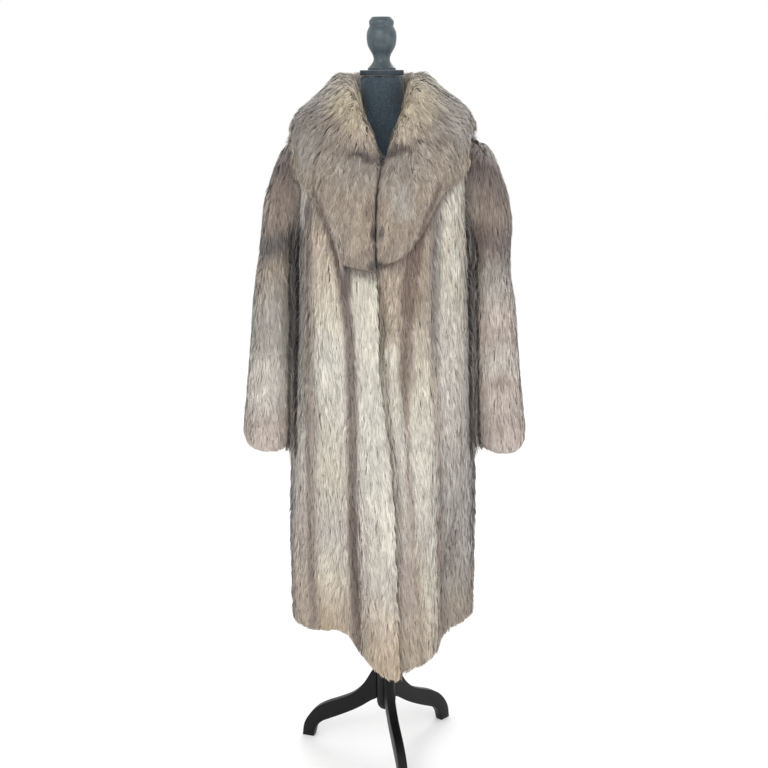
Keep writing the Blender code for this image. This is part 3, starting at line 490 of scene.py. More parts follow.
# %% The pelts' colours
PELTS = {  # name: rows of (height, middle, sides), from the top down
    "front_band": [
        (1.12, "bone", "silver"), (0.97, "cream", "ivory"), (0.84, "pearl", "silver"),
        (0.74, "pearl", "silver"), (0.60, "cream", "silver"), (0.48, "silver", "blush"),
        (0.38, "sand", "tan"), (0.31, "gold", "fawn"),
    ],
    "right_main": [
        (1.25, "fawn", "brown"), (1.16, "sand", "taupe"), (1.04, "ivory", "fawn"), (0.96, "cream", "grey"),
        (0.84, "cream", "ash"), (0.70, "ivory", "blush"), (0.56, "silver", "blush"),
        (0.45, "ivory", "tan"), (0.33, "gold", "taupe"),
    ],
    # The right side pelt's dark rows at 1.18 and 0.96 m are painted shade, where the sleeve hangs beside the
    # front.
    "right_side": [
        (1.28, "silver", "ash"), (1.18, "slate", "soot"), (0.96, "ash", "soot"), (0.75, "silver", "ash"),
        (0.55, "blush", "slate"), (0.33, "tan", "taupe"),
    ],
    "left_strip": [
        (1.13, "tan", "brown"), (1.02, "tan", "taupe"), (0.94, "ivory", "taupe"),
        (0.82, "cream", "silver"), (0.70, "silver", "blush"), (0.50, "blush", "tan"),
        (0.33, "tan", "fawn"),
    ],
    "left_main": [
        (1.20, "fawn", "brown"), (1.08, "fawn", "taupe"), (0.92, "ivory", "tan"), (0.76, "cream", "blush"),
        (0.58, "silver", "blush"), (0.43, "ivory", "tan"), (0.33, "sand", "fawn"),
    ],
    "left_side": [
        (1.28, "silver", "ash"), (1.15, "ivory", "grey"), (0.96, "silver", "grey"),
        (0.80, "silver", "ash"), (0.60, "grey", "slate"), (0.46, "grey", "slate"), (0.33, "fawn", "brown"),
    ],
    "back_middle": [
        (1.40, "fawn", "brown"), (1.20, "sand", "taupe"), (1.00, "ivory", "fawn"),
        (0.75, "cream", "blush"), (0.50, "rose", "ash"), (0.33, "sand", "taupe"),
    ],
    "back_side": [
        (1.40, "taupe", "umber"), (1.20, "fawn", "plum"), (1.00, "silver", "slate"), (0.75, "rose", "ash"),
        (0.50, "blush", "taupe"), (0.33, "tan", "brown"),
    ],
    "sleeve_right": [
        (1.36, "grey", "ash"), (1.32, "plum", "soot"), (1.25, "taupe", "plum"), (1.20, "taupe", "plum"),
        (1.165, "smoke", "soot"), (1.12, "fawn", "plum"), (1.04, "grey", "slate"), (0.96, "grey", "slate"),
        (0.91, "silver", "slate"), (0.85, "silver", "ash"), (0.795, "blush", "ash"), (0.75, "rose", "ash"),
    ],
    "sleeve_left": [
        (1.36, "grey", "ash"), (1.31, "plum", "umber"), (1.22, "taupe", "plum"), (1.165, "plum", "soot"),
        (1.12, "ash", "plum"), (1.08, "grey", "slate"), (1.02, "rose", "slate"), (0.97, "blush", "slate"),
        (0.92, "silver", "slate"), (0.87, "rose", "slate"), (0.80, "blush", "ash"), (0.75, "rose", "ash"),
    ],
    "shawl": [
        (1.50, "silver", "grey"), (1.45, "tan", "grey"), (1.41, "tan", "ash"), (1.37, "fawn", "ash"),
        (1.33, "ash", "fawn"), (1.26, "fawn", "fawn"), (1.19, "fawn", "ash"), (1.13, "taupe", "taupe"),
    ],
}
print(len(PELTS), "pelts")

# %% [markdown]
# Where the hair differs from its pelt, such as the brown patch beside the closure, a soft-edged oval of
# colour is dabbed on top; a few dark dabs are painted shade, at the armhole and in the gap between the
# lapels. The shade in the valley between two pelts, and along and beside the edge of each lapel, is painted
# on as darker hair, and where one piece lies on or beside another, the shade on its hair is painted too.

# %% Dabs, valleys and shades
DABS = {  # node: rows of (x, z, half width and half height in millimetres, colour, strength in percent)
    "front_right": [
        # The smoke dabs are painted shade at the armhole and between the sleeve and the front.
        (-70, 1120, 10, 50, "soot", 80), (-153, 1270, 9, 20, "cream", 80),
        (-162, 1225, 9, 22, "silver", 80), (-148, 1238, 6, 20, "smoke", 80),
        (-156, 1300, 20, 8, "smoke", 80), (-166, 1180, 12, 30, "smoke", 60), (-80, 340, 22, 45, "tan", 50),
        (-148, 820, 16, 100, "blush", 50), (-112, 950, 26, 60, "white", 45),
    ],
    "front_left": [
        (52, 1075, 20, 44, "brown", 90), (64, 1150, 14, 40, "brown", 80), (6, 1020, 12, 30, "fawn", 60),
        (14, 954, 15, 24, "cream", 90), (50, 930, 18, 50, "taupe", 55), (142, 1130, 12, 36, "white", 80),
        (148, 1274, 14, 26, "cream", 80), (143, 940, 20, 46, "cream", 40), (118, 600, 12, 60, "ash", 50),
        (142, 500, 16, 70, "plum", 50),
    ],
    "collar": [
        (-56, 1432, 52, 44, "yellow", 60), (64, 1442, 52, 44, "yellow", 50),
        (-30, 1390, 22, 26, "sand", 65), (44, 1390, 24, 26, "sand", 65), (-98, 1405, 24, 12, "taupe", 70),
        (-92, 1358, 26, 12, "taupe", 70), (85, 1398, 24, 9, "taupe", 60), (-46, 1350, 24, 7, "soot", 90),
        (-24, 1340, 18, 8, "soot", 90), (36, 1358, 24, 7, "soot", 90), (18, 1348, 14, 7, "soot", 90),
        (78, 1368, 28, 6, "plum", 70), (118, 1374, 22, 7, "brown", 60), (-146, 1352, 20, 40, "grey", 60),
        (150, 1400, 22, 44, "grey", 60),
    ],
    # The ink and soot dabs on both lapels are painted shade in the gap between them, at the closure.
    "lapel_right": [
        (-16, 1205, 10, 14, "ink", 95), (-21, 1143, 9, 11, "soot", 85), (-24, 1245, 12, 30, "brown", 60),
        (-55, 1180, 16, 22, "tan", 50), (-30, 1175, 12, 16, "taupe", 60),
    ],
    "lapel_left": [
        (-2, 1205, 6, 12, "soot", 80), (-10, 1143, 10, 11, "ink", 90), (38, 1262, 24, 36, "grey", 75),
        (20, 1180, 14, 16, "taupe", 55), (60, 1200, 14, 22, "taupe", 45),
    ],
    "sleeve_left": [(245, 880, 20, 16, "taupe", 60)],
}
# The dark hair in the valleys between pelts, and beside and along each lapel, is painted shade.
GROOVE_HALF = 0.0125  # half the width of a valley's dark hair
EDGE_HALF = 0.0065  # half the width of the dark line beside each lapel
VALLEY_SHADES = {  # node: rows of (line, colour, strength, top, bottom, fade at the ends, half width)
    "front_right": [
        (RIGHT_INNER, "plum", 0.72, 1.09, 0.20, 0.05, GROOVE_HALF),
        (RIGHT_INNER, "umber", 0.60, 0.62, 0.20, 0.05, GROOVE_HALF),
        (RIGHT_OUTER, "taupe", 0.50, 1.20, 0.20, 0.05, GROOVE_HALF),
        (RIGHT_INNER, "umber", 0.85, 1.33, 1.09, 0.03, EDGE_HALF),
    ],
    "front_left": [
        (LEFT_INNER, "brown", 0.60, 1.18, 0.92, 0.12, GROOVE_HALF),
        (LEFT_OUTER, "slate", 0.60, 1.18, 0.98, 0.10, GROOVE_HALF),
        (LEFT_INNER, "umber", 0.85, 1.33, 1.15, 0.03, EDGE_HALF),
        (LEFT_OUTER, "brown", 0.50, 0.56, 0.30, 0.10, GROOVE_HALF),
    ],
    "lapel_right": [(RIGHT_INNER, "umber", 0.80, 1.33, 1.12, 0.03, EDGE_HALF)],
    "lapel_left": [(LEFT_INNER, "umber", 0.80, 1.33, 1.12, 0.03, EDGE_HALF)],
}
# The painted shade in the back's valleys between its pelts.
BACK_VALLEY_SHADE = ("brown", 0.44, 1.30, 0.20, 0.05, GROOVE_HALF)
SHADES = {  # kind of piece: rows of (the neighbour it is darker beside, colour, reach, strength)
    "front": [("lapel", "plum", 0.030, 0.90), ("sleeve", "slate", 0.028, 0.60)],
    "back": [("sleeve", "slate", 0.028, 0.60)],
    "sleeve": [("front", "slate", 0.026, 0.40), ("back", "slate", 0.026, 0.40)],
}
print(sum(len(rows) for rows in DABS.values()), "dabs")


# %% Mix colours
PELT_SIDES = (0.50, 1.05)  # between these shares of its half width, a pelt turns its sides' colour
GROOVE_FADE = (0.30, 1.25)


def tinted(rows, heights, edge):
    """A pelt's colour at each height; edge runs from 0 along its middle to 1 at its sides."""
    keys = [height for height, _middle, _sides in rows][::-1]
    both = []
    for column in (1, 2):
        tints = np.array([FUR_COLOURS[row[column]] for row in rows[::-1]], float)
        both.append(np.stack([np.interp(heights, keys, tints[:, channel]) for channel in range(3)], axis=1))
    return both[0] + (both[1] - both[0]) * edge[:, None]


def towards(colours, name, share):
    """Colours moved towards a named one."""
    return colours + (np.asarray(FUR_COLOURS[name], float) - colours) * share[:, None]


def close_to(points, names, reach):
    """1 where a named piece touches the point, fading to 0 at the reach."""
    share = np.zeros(len(points))
    for name in names:
        for k, point in enumerate(points):
            gap = panels[name].tree.find_nearest(Vector(point), reach)[3]
            if gap is not None:
                share[k] = max(share[k], 1 - gap / reach)
    return share


def side_by_side(across, heights, lines, names):
    """The colours of pelts that lie side by side between lines."""
    across = np.clip(across, lines[0] + TINY, lines[-1] - TINY)
    colours = np.zeros((len(heights), 3))
    for low, high, name in zip(lines, lines[1:], names):
        here = (across >= low) & (across <= high)
        share = np.abs(2 * (across - low) / (high - low) - 1)
        colours[here] = tinted(PELTS[name], heights, smooth(*PELT_SIDES, share))[here]
    return colours


def groove(across, line, heights, top, bottom, fade, half):
    """1 along a line of painted shade, such as the valley between two pelts, fading to its sides and ends.
    """
    ends = smooth(bottom - fade, bottom, heights) * (1 - smooth(top, top + fade, heights))
    return (1 - smooth(*GROOVE_FADE, np.abs(across - line) / half)) * ends


print("colours are mixed by height, by pelt and by distance")

# %% [markdown]
# ### One painter for each kind of piece
#
# A front is three pelts wide and the back six. A sleeve's bands go round it, so its sides are told by the
# angle. The collar and lapels are one shawl, mottled like a fox's mane.

# %% Paint each kind of piece
BACK_WANDER = 0.0028  # how far the back's valleys stray from straight lines
BACK_WANDER_SIZE = (0.05, 0.05, 0.07)
BACK_SHIFT = 0.045  # how far up or down a pelt's tones lie from its neighbour's
BACK_SHIFT_SIZE = (0.06, 0.06, 0.35)
SLEEVE_SIDES = (0.50, 1.0)
SLEEVE_WAVE = 0.008
SLEEVE_WAVE_SIZE = (0.03, 0.03, 0.20)
SHAWL_SIDES = (0.04, 0.14)
SHAWL_BEHIND = (0.02, 0.10)  # behind the neck the shawl turns fawn
SHAWL_FAWN = 0.7
BLOTCH_SIZE = (0.020, 0.020, 0.016)
BLOTCH = (0.5, 1.5)
BROWN_BLOTCH = 0.42
IVORY_BLOTCH = 0.36
VALLEY_UNEVEN = 0.4  # how much the back's valleys differ in darkness along their length
VALLEY_LIMITS = (0.3, 1.5)
FRONT_ONLY = (-0.02, 0.06)  # dabs fade from the first to the second of these depths
DAB_EDGE = (0.45, 1.35)


def paint_front(node, points):
    """A front's colours. The pelt at the closure has its middle on the front edge."""
    x, _y, z = points.T
    closure, side = along(CLOSURE, z), along(HALF_WIDTH, z)
    if node == "front_right":
        inner, outer = along(RIGHT_INNER, z), along(RIGHT_OUTER, z)
        names = ["right_side", "right_main", "front_band"]
        return side_by_side(x, z, [-side, outer, inner, 2 * closure - inner], names)
    inner, outer = along(LEFT_INNER, z), along(LEFT_OUTER, z)
    seams = [2 * closure - inner, inner, outer, side]
    return side_by_side(x, z, seams, ["left_strip", "left_main", "left_side"])


def paint_back(points):
    """The back's colours: six pelts, darker towards the sides. No two change at quite the same height."""
    z = points[:, 2]
    x = points[:, 0] + BACK_WANDER * ripple(points, BACK_WANDER_SIZE, 61)
    heights = z + BACK_SHIFT * ripple(points, BACK_SHIFT_SIZE, 62)
    half = along(HALF_WIDTH, z)
    lines = [np.full(len(x), edge) for edge in (-1.0, *BACK_SHARES, 1.0)]
    names = ["back_side", "back_side", "back_middle", "back_middle", "back_side", "back_side"]
    colours = side_by_side(x / half, heights, lines, names)
    # The painted shade in the back's valleys is uneven along their length.
    depth = (1 + VALLEY_UNEVEN * ripple(points, BACK_WANDER_SIZE, 63)).clip(*VALLEY_LIMITS)
    name, strength, *ends = BACK_VALLEY_SHADE
    for edge in BACK_SHARES:
        colours = towards(colours, name, strength * groove(x, edge * half, z, *ends) * depth)
    return colours


def paint_sleeve(node, points):
    """A sleeve's colours: bands round it that waver a little, darker at its front and back folds."""
    away = points - middle_of(node, points)
    across = np.abs(away[:, 0]) / np.maximum(np.hypot(away[:, 0], away[:, 1]), TINY)
    wavy = points[:, 2] + SLEEVE_WAVE * ripple(points, SLEEVE_WAVE_SIZE, 31)
    return tinted(PELTS[node], wavy, smooth(*SLEEVE_SIDES, across))


def paint_shawl(points):
    """The collar's and lapels' colours, with brown and ivory blotches."""
    x, y, z = points.T
    colours = tinted(PELTS["shawl"], z, smooth(*SHAWL_SIDES, np.abs(x)))
    colours = towards(colours, "fawn", SHAWL_FAWN * smooth(*SHAWL_BEHIND, y))
    blotch = ripple(points, BLOTCH_SIZE, 51)
    colours = towards(colours, "brown", BROWN_BLOTCH * smooth(*BLOTCH, blotch))
    return towards(colours, "ivory", IVORY_BLOTCH * smooth(*BLOTCH, -blotch))


def paint_marks(node, colours, points):
    """The colours with the piece's painted shade in valleys and beside neighbours, and its dabs, laid on
    them.
    """
    x, y, z = points.T
    for line, name, strength, *ends in VALLEY_SHADES.get(node, ()):
        colours = towards(colours, name, strength * groove(x, along(line, z), z, *ends))
    for neighbour, name, reach, strength in SHADES.get(node.split("_")[0], ()):
        names = [cloth for cloth in CLOTH if cloth.startswith(neighbour)]
        colours = towards(colours, name, strength * smooth(0.0, 1.0, close_to(points, names, reach)))
    for at_x, at_z, half_x, half_z, name, percent in DABS.get(node, ()):
        reach = np.hypot((x - at_x / 1000) / (half_x / 1000), (z - at_z / 1000) / (half_z / 1000))
        share = percent / 100 * (1 - smooth(*FRONT_ONLY, y)) * (1 - smooth(*DAB_EDGE, reach))
        colours = towards(colours, name, share)
    return colours


print("painters: front, back, sleeve and shawl")

# %% Paint the roots
FINE_MOTTLE = (0.010, 0.012, 0.030)
BROAD_MOTTLE = (0.024, 0.024, 0.09)
BROAD_SHARE = 0.7  # how strong the broad mottle is beside the fine one
MOTTLE_DEPTH = {"collar": 0.075, "lapel_right": 0.075, "lapel_left": 0.075}
BODY_MOTTLE_DEPTH = 0.045
# The share of a piece's locks with dark tips.
DARK_TIPS = {"front": 0.22, "back": 0.18, "sleeve": 0.14, "collar": 0.22, "lapel": 0.22}
RIGHT_DARK_TIPS = 0.18
BAND_DARK_TIPS = 0.05  # the pale pelt at the closure has few
MOTTLED_TIPS = 0.9  # how strongly the mottle gathers the dark tips
MOST_DARK_TIPS = 0.8


def dark_tipped(node, points):
    """The share of the locks that have dark tips."""
    share = np.full(len(points), DARK_TIPS[node.split("_")[0]])
    if node == "front_right":
        inner = along(RIGHT_INNER, points[:, 2])
        share = np.where(points[:, 0] > inner, BAND_DARK_TIPS, RIGHT_DARK_TIPS)
    return share


def painted(node, points):
    """Each root's colour as a screen shows it, and the share of its hairs that have dark tips."""
    if node.startswith("front"):
        colours = paint_front(node, points)
    elif node == "back":
        colours = paint_back(points)
    elif node.startswith("sleeve"):
        colours = paint_sleeve(node, points)
    else:
        colours = paint_shawl(points)
    colours = paint_marks(node, colours, points)
    mottle = ripple(points, FINE_MOTTLE, 41) + BROAD_SHARE * ripple(points, BROAD_MOTTLE, 42)
    depth = MOTTLE_DEPTH.get(node, BODY_MOTTLE_DEPTH)
    dark = np.clip(dark_tipped(node, points) * (1 + MOTTLED_TIPS * mottle), 0.0, MOST_DARK_TIPS)
    return colours * (1 + depth * mottle[:, None]), dark


print("roots are painted by height, pelt and dab")

# %% [markdown]
# ## Growing the locks
#
# A single fox hair is far too fine to model, but hairs cling together in tapered locks. A lock here is a
# narrow strip, one quad and a tip: three triangles. Locks gather in tufts of eight whose tips draw
# together, as brushed fur does. A tuft's path is found first, by stepping along the surface from its
# root, and its locks follow it.

# %% Find what lies under a piece's edges
TUFT_STEPS = 4
LIKE_NORMAL = 0.62  # below it the surface has turned away, as it does past a hem
ROLL_TOP = 0.25  # the collar's hair stays on a surface that looks up this much, so it wraps over the roll
DRAPE = 0.0042  # past its piece's edge a tuft sinks this much in each step, onto the piece below
DRAPE_REACH = 0.040
CLEAR = 0.0012
# How much of a step a tuft makes past its piece's edge.
OFF_EDGE = {"collar": 0.95, "lapel_right": 0.45, "lapel_left": 0.45}
BODY_OFF_EDGE = 0.6


def below(node):
    """A search tree of the furred faces that lie under a piece's edges."""
    names = others(node)
    if node == "collar":
        names = [name for name in CLOTH if name != "collar"]
    elif node in OVERLAYS:
        names = ["front_right", "front_left"]
    points, triangles, first = [], [], 0
    for name in names:
        panel = panels[name]
        corners = panel.points[panel.triangles]
        flat = unit(np.cross(corners[:, 1] - corners[:, 0], corners[:, 2] - corners[:, 0]))
        out = looks_out(name, corners.mean(axis=1), flat)
        points.append(panel.points)
        triangles.append(panel.triangles[out] + first)
        first += len(panel.points)
    return BVHTree.FromPolygons(np.concatenate(points).tolist(), np.concatenate(triangles).tolist())


print("a tuft takes", TUFT_STEPS, "steps")


# %% Step the tufts along the surface
def tuft_step(panel, lower, start, facing, point, overhang):
    """Where one tuft's next step lands, and the surface's normal there."""
    near, normal, _face, gap = panel.tree.find_nearest(Vector(point))
    rolled = panel.name == "collar" and normal.z > ROLL_TOP
    if rolled or np.dot(normal, facing) > LIKE_NORMAL:
        return near, normal
    bed, normal, _face, drop = lower.find_nearest(Vector(point), DRAPE_REACH)
    if bed is not None and np.dot(normal, facing) > LIKE_NORMAL:
        target = np.array(bed) + np.array(normal) * CLEAR
        sunk = np.dot(point - target, normal) < 0
        landed = target if sunk else point + (target - point) * min(1.0, DRAPE / max(drop, TINY))
        return start + (landed - start) * OFF_EDGE.get(panel.name, BODY_OFF_EDGE), normal
    if gap > overhang:
        return np.array(near) + (point - np.array(near)) * overhang / gap, facing
    return point, facing


def tuft_paths(panel, lower, roots, normals, ways, lengths, overhang):
    """The points of each tuft from root to tip, and the surface's normal at each."""
    path, facing, way = [roots], [normals], ways.copy()
    for _step in range(TUFT_STEPS):
        guess = path[-1] + way * (lengths / TUFT_STEPS)[:, None]
        place, turned = guess.copy(), facing[-1].copy()
        for k, point in enumerate(guess):
            place[k], turned[k] = tuft_step(panel, lower, path[-1][k], facing[-1][k], point, overhang[k])
        turned = unit(turned + facing[-1])
        way = unit(way - turned * dot(way, turned))
        path.append(place)
        facing.append(turned)
    return np.stack(path, axis=1), np.stack(facing, axis=1)


def read_path(path, shares):
    """Points at shares of the way, 0 to 1, along paths of evenly spaced points."""
    step = np.clip(shares * TUFT_STEPS, 0, TUFT_STEPS - TINY)
    first = step.astype(int)
    rest = (step - first)[:, :, None]
    before = np.take_along_axis(path, first[:, :, None], axis=1)
    after = np.take_along_axis(path, first[:, :, None] + 1, axis=1)
    return before * (1 - rest) + after * rest


print("past a hem a tuft hangs on, and past the collar's edge it sinks onto the coat")

# %% [markdown]
# ### Free edges
#
# A furrier trims the hair along a hem, a cuff and a lapel, or the edge would look ragged. A lock whose
# tip hangs past a free edge by more than it may is shortened here. The left front's hem keeps a fuller
# fringe beside the closure.

# %% Trim the locks past free edges
FRINGE_REACH = 0.020
HEM_BELOW_Z = 0.34
FULL_HEM_X = (0.052, 0.066)  # between these the left front's fringe grows to its full length
FULL_FRINGE = 0.0055
HEM_SPARE = (0.0, 0.0025)  # the least and most that a lock may hang past the hem
LAPEL_SPARE = (0.0005, 0.0030)
EDGE_SPARE = (0.0010, 0.0045)
LIES_ABOVE = 0.6  # a tip this much straight above the piece below lies on it
SHORTEST = 0.2


def spare_length(panel, roots, rng):
    """How far a lock's tip may hang past a free edge."""
    if panel.name.startswith("lapel"):
        return rng.uniform(*LAPEL_SPARE, len(roots))
    low = roots[:, 2] < HEM_BELOW_Z
    full = smooth(*FULL_HEM_X, roots[:, 0]) * (panel.name == "front_left")
    spare = rng.uniform(*EDGE_SPARE, len(roots))
    return np.where(low, rng.uniform(*HEM_SPARE, len(roots)) + FULL_FRINGE * full, spare)


def trimmed(panel, lower, middle, spare):
    """Locks cut back where their tips hang past a free edge by more than the spare length."""
    for k, (root, tip) in enumerate(zip(middle[:, 0], middle[:, -1])):
        gap = panel.tree.find_nearest(Vector(tip))[3]
        if gap <= spare[k]:
            continue
        bed, normal, _face, drop = lower.find_nearest(Vector(tip), FRINGE_REACH)
        over = bed is not None and (Vector(tip) - bed).dot(normal) > LIES_ABOVE * drop
        lies = bed is not None and (panel.name == "collar" or over)
        if not lies or panel.name.startswith("lapel"):
            keep = 1 - (gap - spare[k]) / max(np.linalg.norm(tip - root), TINY)
            middle[k] = root + (middle[k] - root) * max(keep, SHORTEST)
    return middle


print("hems, cuffs and lapels are trimmed")

# %% Turn tufts into locks
LOCKS_PER_TUFT = 8
FUR_BED = 0.0070  # the hide lies this far under the fur's surface
BEDS = {"collar": 0.0110, "lapel_right": 0.0080, "lapel_left": 0.0080}
ROW_SHARES = np.array([0.0, 0.42, 1.0])  # where a lock's root, middle and tip are
ROW_WIDTHS = np.array([0.85, 1.0])
# How bright a lock is at its root, middle and tip. The darker root is partly the hair's own colour and
# partly painted shade deep in the fur.
ROW_LIGHT = np.array([0.74, 0.95, 1.04])
SWERVE = 0.16  # how far tufts turn at random
OVERLAY_SWERVE = 0.24
TUFT_LENGTHS = (0.85, 1.20)
LOCK_LENGTHS = (0.60, 1.0)
TUFT_OVERHANG = (0.001, 0.006)
TUFT_PULL = (0.10, 0.55)  # how far a tuft's locks draw together at their tips
LOFT_REACH = 0.024  # where a sleeve hangs this near the body, the fur of both stands up to meet
LOFT_SHARE = 0.55
TUFT_LIFT = (0.0004, 0.0009)
LOCK_LIFT = 0.0006
LIFT_LIMITS = (-0.003, 0.0034)
WAVE = 0.0018
WAVE_CURVE = 2.4 * math.pi  # a lock bends to one side, and back in a curve this long in radians
WAVE_BACK = 0.5
DRAW_BEND = 1.4  # tufts draw together mostly near their tips
RISE_BEND = 2.2  # a lock rises out of the bed mostly near its root
TWIST = 0.38
MOST_TWIST = 1.1


def loft_of(panel, roots, normals):
    """How much higher than usual the fur stands at each root."""
    if panel.name in OVERLAYS:
        return np.zeros(len(roots))
    gaps = ray_gaps(roots, normals, others(panel.name), LOFT_REACH)
    return np.where(gaps < LOFT_REACH, gaps * LOFT_SHARE, 0.0)


def nearest_tuft(tuft_roots, roots):
    """The tuft that each lock belongs to."""
    finder = KDTree(len(tuft_roots))
    for k, root in enumerate(tuft_roots):
        finder.insert(Vector(root), k)
    finder.balance()
    return np.array([finder.find(Vector(root))[1] for root in roots])


def lock_points(panel, count, length, width, bed, rng):
    """Each lock's tuft, middle line, half width to one side and surface normals."""
    roots, normals = scatter(panel, count, rng)
    loft = loft_of(panel, roots, normals)
    tufts = rng.choice(len(roots), size=max(1, len(roots) // LOCKS_PER_TUFT), replace=False)
    ways = combed(panel.name, roots[tufts], normals[tufts])
    swerve = rng.normal(0.0, OVERLAY_SWERVE if panel.name in OVERLAYS else SWERVE, len(tufts))[:, None]
    ways = unit(ways + np.cross(normals[tufts], ways) * swerve)
    lengths = length * rng.uniform(*TUFT_LENGTHS, len(tufts))
    overhang = rng.uniform(*TUFT_OVERHANG, len(tufts))
    lower = below(panel.name)
    path, facing = tuft_paths(panel, lower, roots[tufts], normals[tufts], ways, lengths, overhang)
    mine = nearest_tuft(roots[tufts], roots)
    pull = rng.uniform(*TUFT_PULL, len(tufts))[mine]
    shares = ROW_SHARES * rng.uniform(*LOCK_LENGTHS, len(mine))[:, None]
    lift = rng.normal(*TUFT_LIFT, len(tufts))[mine] + rng.normal(0.0, LOCK_LIFT, len(mine))
    away = (roots - roots[tufts][mine])[:, None, :] * (1 - pull[:, None] * shares**DRAW_BEND)[:, :, None]
    rise = 1 - (1 - ROW_SHARES) ** RISE_BEND
    height = -bed + (bed + lift.clip(*LIFT_LIMITS) + loft)[:, None] * rise
    normals = unit(read_path(facing[mine], shares))
    middle = read_path(path[mine], shares) + away + normals * height[:, :, None]
    side = unit(np.cross(np.gradient(middle, axis=1), normals))
    wave = rng.normal(0.0, WAVE, (len(mine), 2, 1))
    bend = wave[:, 0] * ROW_SHARES + wave[:, 1] * np.sin(WAVE_CURVE * ROW_SHARES) * WAVE_BACK
    spare = loft + spare_length(panel, roots, rng)
    middle = trimmed(panel, lower, middle + side * bend[:, :, None], spare)
    twist = rng.normal(0.0, TWIST, len(mine)).clip(-MOST_TWIST, MOST_TWIST)[:, None, None]
    across = side * np.cos(twist) + normals * np.sin(twist)
    return mine, middle, across * width / 2, normals


print("a tuft has about", LOCKS_PER_TUFT, "locks")

# %% [markdown]
# ### One mesh of locks
#
# A bmesh operator for each of 300,000 locks would take far too long, so all the locks of a piece are
# written straight into one mesh: points, faces, colours, and the place of each lock on its map. Each lock
# is lit mostly as the surface below it is, or the fur would glitter.

# %% Build one mesh of locks
LOCK_CORNERS = np.array([0, 1, 3, 2, 2, 3, 4])  # a quad from root to middle, and a triangle to the tip
FACE_STARTS = np.array([0, 4])
POINT_ROWS = np.array([0, 0, 1, 1, 2])
POINT_SPOTS = np.array([(0.0, 0.0), (1.0, 0.0), (0.0, 0.5), (1.0, 0.5), (0.5, 1.0)])
BAKE_MARGIN = 0.18  # bare rim of a lock's place on its bake map, as a share of the place
NORMAL_EVENNESS = 0.80  # how far a lock is lit as the surface below it is


def lock_mesh(name, middle, across, facing, colours):
    """One mesh of all the locks, with their colours, normals and places on the bake map."""
    count = len(middle)
    sides = across[:, :2] * ROW_WIDTHS[:, None]
    both = np.stack([middle[:, :2] - sides, middle[:, :2] + sides], axis=2)
    points = np.concatenate([both.reshape(count, 4, 3), middle[:, 2:]], axis=1)
    lock = np.arange(count)[:, None]
    mesh = bpy.data.meshes.new(name)
    mesh.vertices.add(count * points.shape[1])
    mesh.vertices.foreach_set("co", points.astype(np.float32).ravel())
    loops = (LOCK_CORNERS + points.shape[1] * lock).ravel()
    mesh.loops.add(len(loops))
    mesh.loops.foreach_set("vertex_index", loops.astype(np.int32))
    starts = (FACE_STARTS + len(LOCK_CORNERS) * lock).ravel()
    mesh.polygons.add(len(starts))
    mesh.polygons.foreach_set("loop_start", starts.astype(np.int32))
    mesh.update(calc_edges=True)
    mesh.shade_smooth()
    tint = mesh.color_attributes.new("fur_colour", "FLOAT_COLOR", "POINT")
    shown = np.concatenate([colours[:, POINT_ROWS], np.ones((count, len(POINT_ROWS), 1))], axis=2)
    tint.data.foreach_set("color", shown.astype(np.float32).ravel())
    flat = unit(np.cross(across, np.gradient(middle, axis=1)))
    even = unit(facing * NORMAL_EVENNESS + flat * (1 - NORMAL_EVENNESS))
    mesh.normals_split_custom_set_from_vertices(even[:, POINT_ROWS].reshape(-1, 3))
    grid = math.ceil(math.sqrt(count))
    place = np.concatenate([lock % grid, lock // grid], axis=1)[:, None]
    spots = (BAKE_MARGIN + (1 - 2 * BAKE_MARGIN) * POINT_SPOTS + place) / grid
    bake = mesh.uv_layers.new(name="OFBake")
    bake.data.foreach_set("uv", spots[:, LOCK_CORNERS].astype(np.float32).ravel())
    return mesh


print("a lock has", len(POINT_ROWS), "points")

# %% [markdown]
# ## Fur and hide finishes
#
# The fur's colour comes from the colour attribute, so it follows each lock. Hair scatters light softly,
# so the roughness is high, with a little sheen for the bloom along the edges. The hide below is matte,
# like suede.

# %% Make the fur's finish
fur_finish, tree, shader = finish(
    "fox_fur",
    linear(190, 178, 165),
    0.72,
    Sheen_Weight=0.25,
    Sheen_Roughness=0.6,
    Specular_IOR_Level=0.25,
)
paint = add(tree, "VertexColor")
paint.layer_name = "fur_colour"
place = add(tree, "TexCoord")
strands = add(tree, "TexNoise", Scale=600.0, Detail=4.0)
gloss = add(tree, "MapRange", To_Min=0.58, To_Max=0.82)
bump = add(tree, "Bump", Strength=0.25, Distance=0.0006)
join(
    tree,
    (paint, "Color", shader, "Base Color"),
    (place, "Object", strands, "Vector"),
    (strands, "Fac", gloss, "Value"),
    (gloss, "Result", shader, "Roughness"),
    (strands, "Fac", bump, "Height"),
    (bump, "Normal", shader, "Normal"),
)
print("finish:", fur_finish.name)

# %% Make the hide's finish
hide_finish, tree, shader = finish("hide", linear(128, 116, 106), 0.95)
place = add(tree, "TexCoord")
grain = add(tree, "TexNoise", Scale=160.0, Detail=6.0)
ramp = add_ramp(tree, (104, 92, 84), (150, 138, 127))
bump = add(tree, "Bump", Strength=0.35, Distance=0.002)
join(
    tree,
    (place, "Object", grain, "Vector"),
    (grain, "Fac", ramp, "Fac"),
    (ramp, "Color", shader, "Base Color"),
    (grain, "Fac", bump, "Height"),
    (bump, "Normal", shader, "Normal"),
)
print("finish:", hide_finish.name)

# %% [markdown]
# ## The hides
#
# Each hide is its solid's merged copy drawn in by the depth of the fur. Where the wall is thin, as under
# the closure, it's drawn in less, and beside a seam it stays where it is. It remains a closed thin shell.

# %% Draw in the hides
HIDE_SHARE = 0.30  # the most of the wall's thickness that one side is drawn in by
SEAM_NEAR = 0.004  # a hide isn't drawn back from a neighbour this near, so the seams stay closed
WALL_SEEN = 0.2
INNER_RAY_START = 0.0002


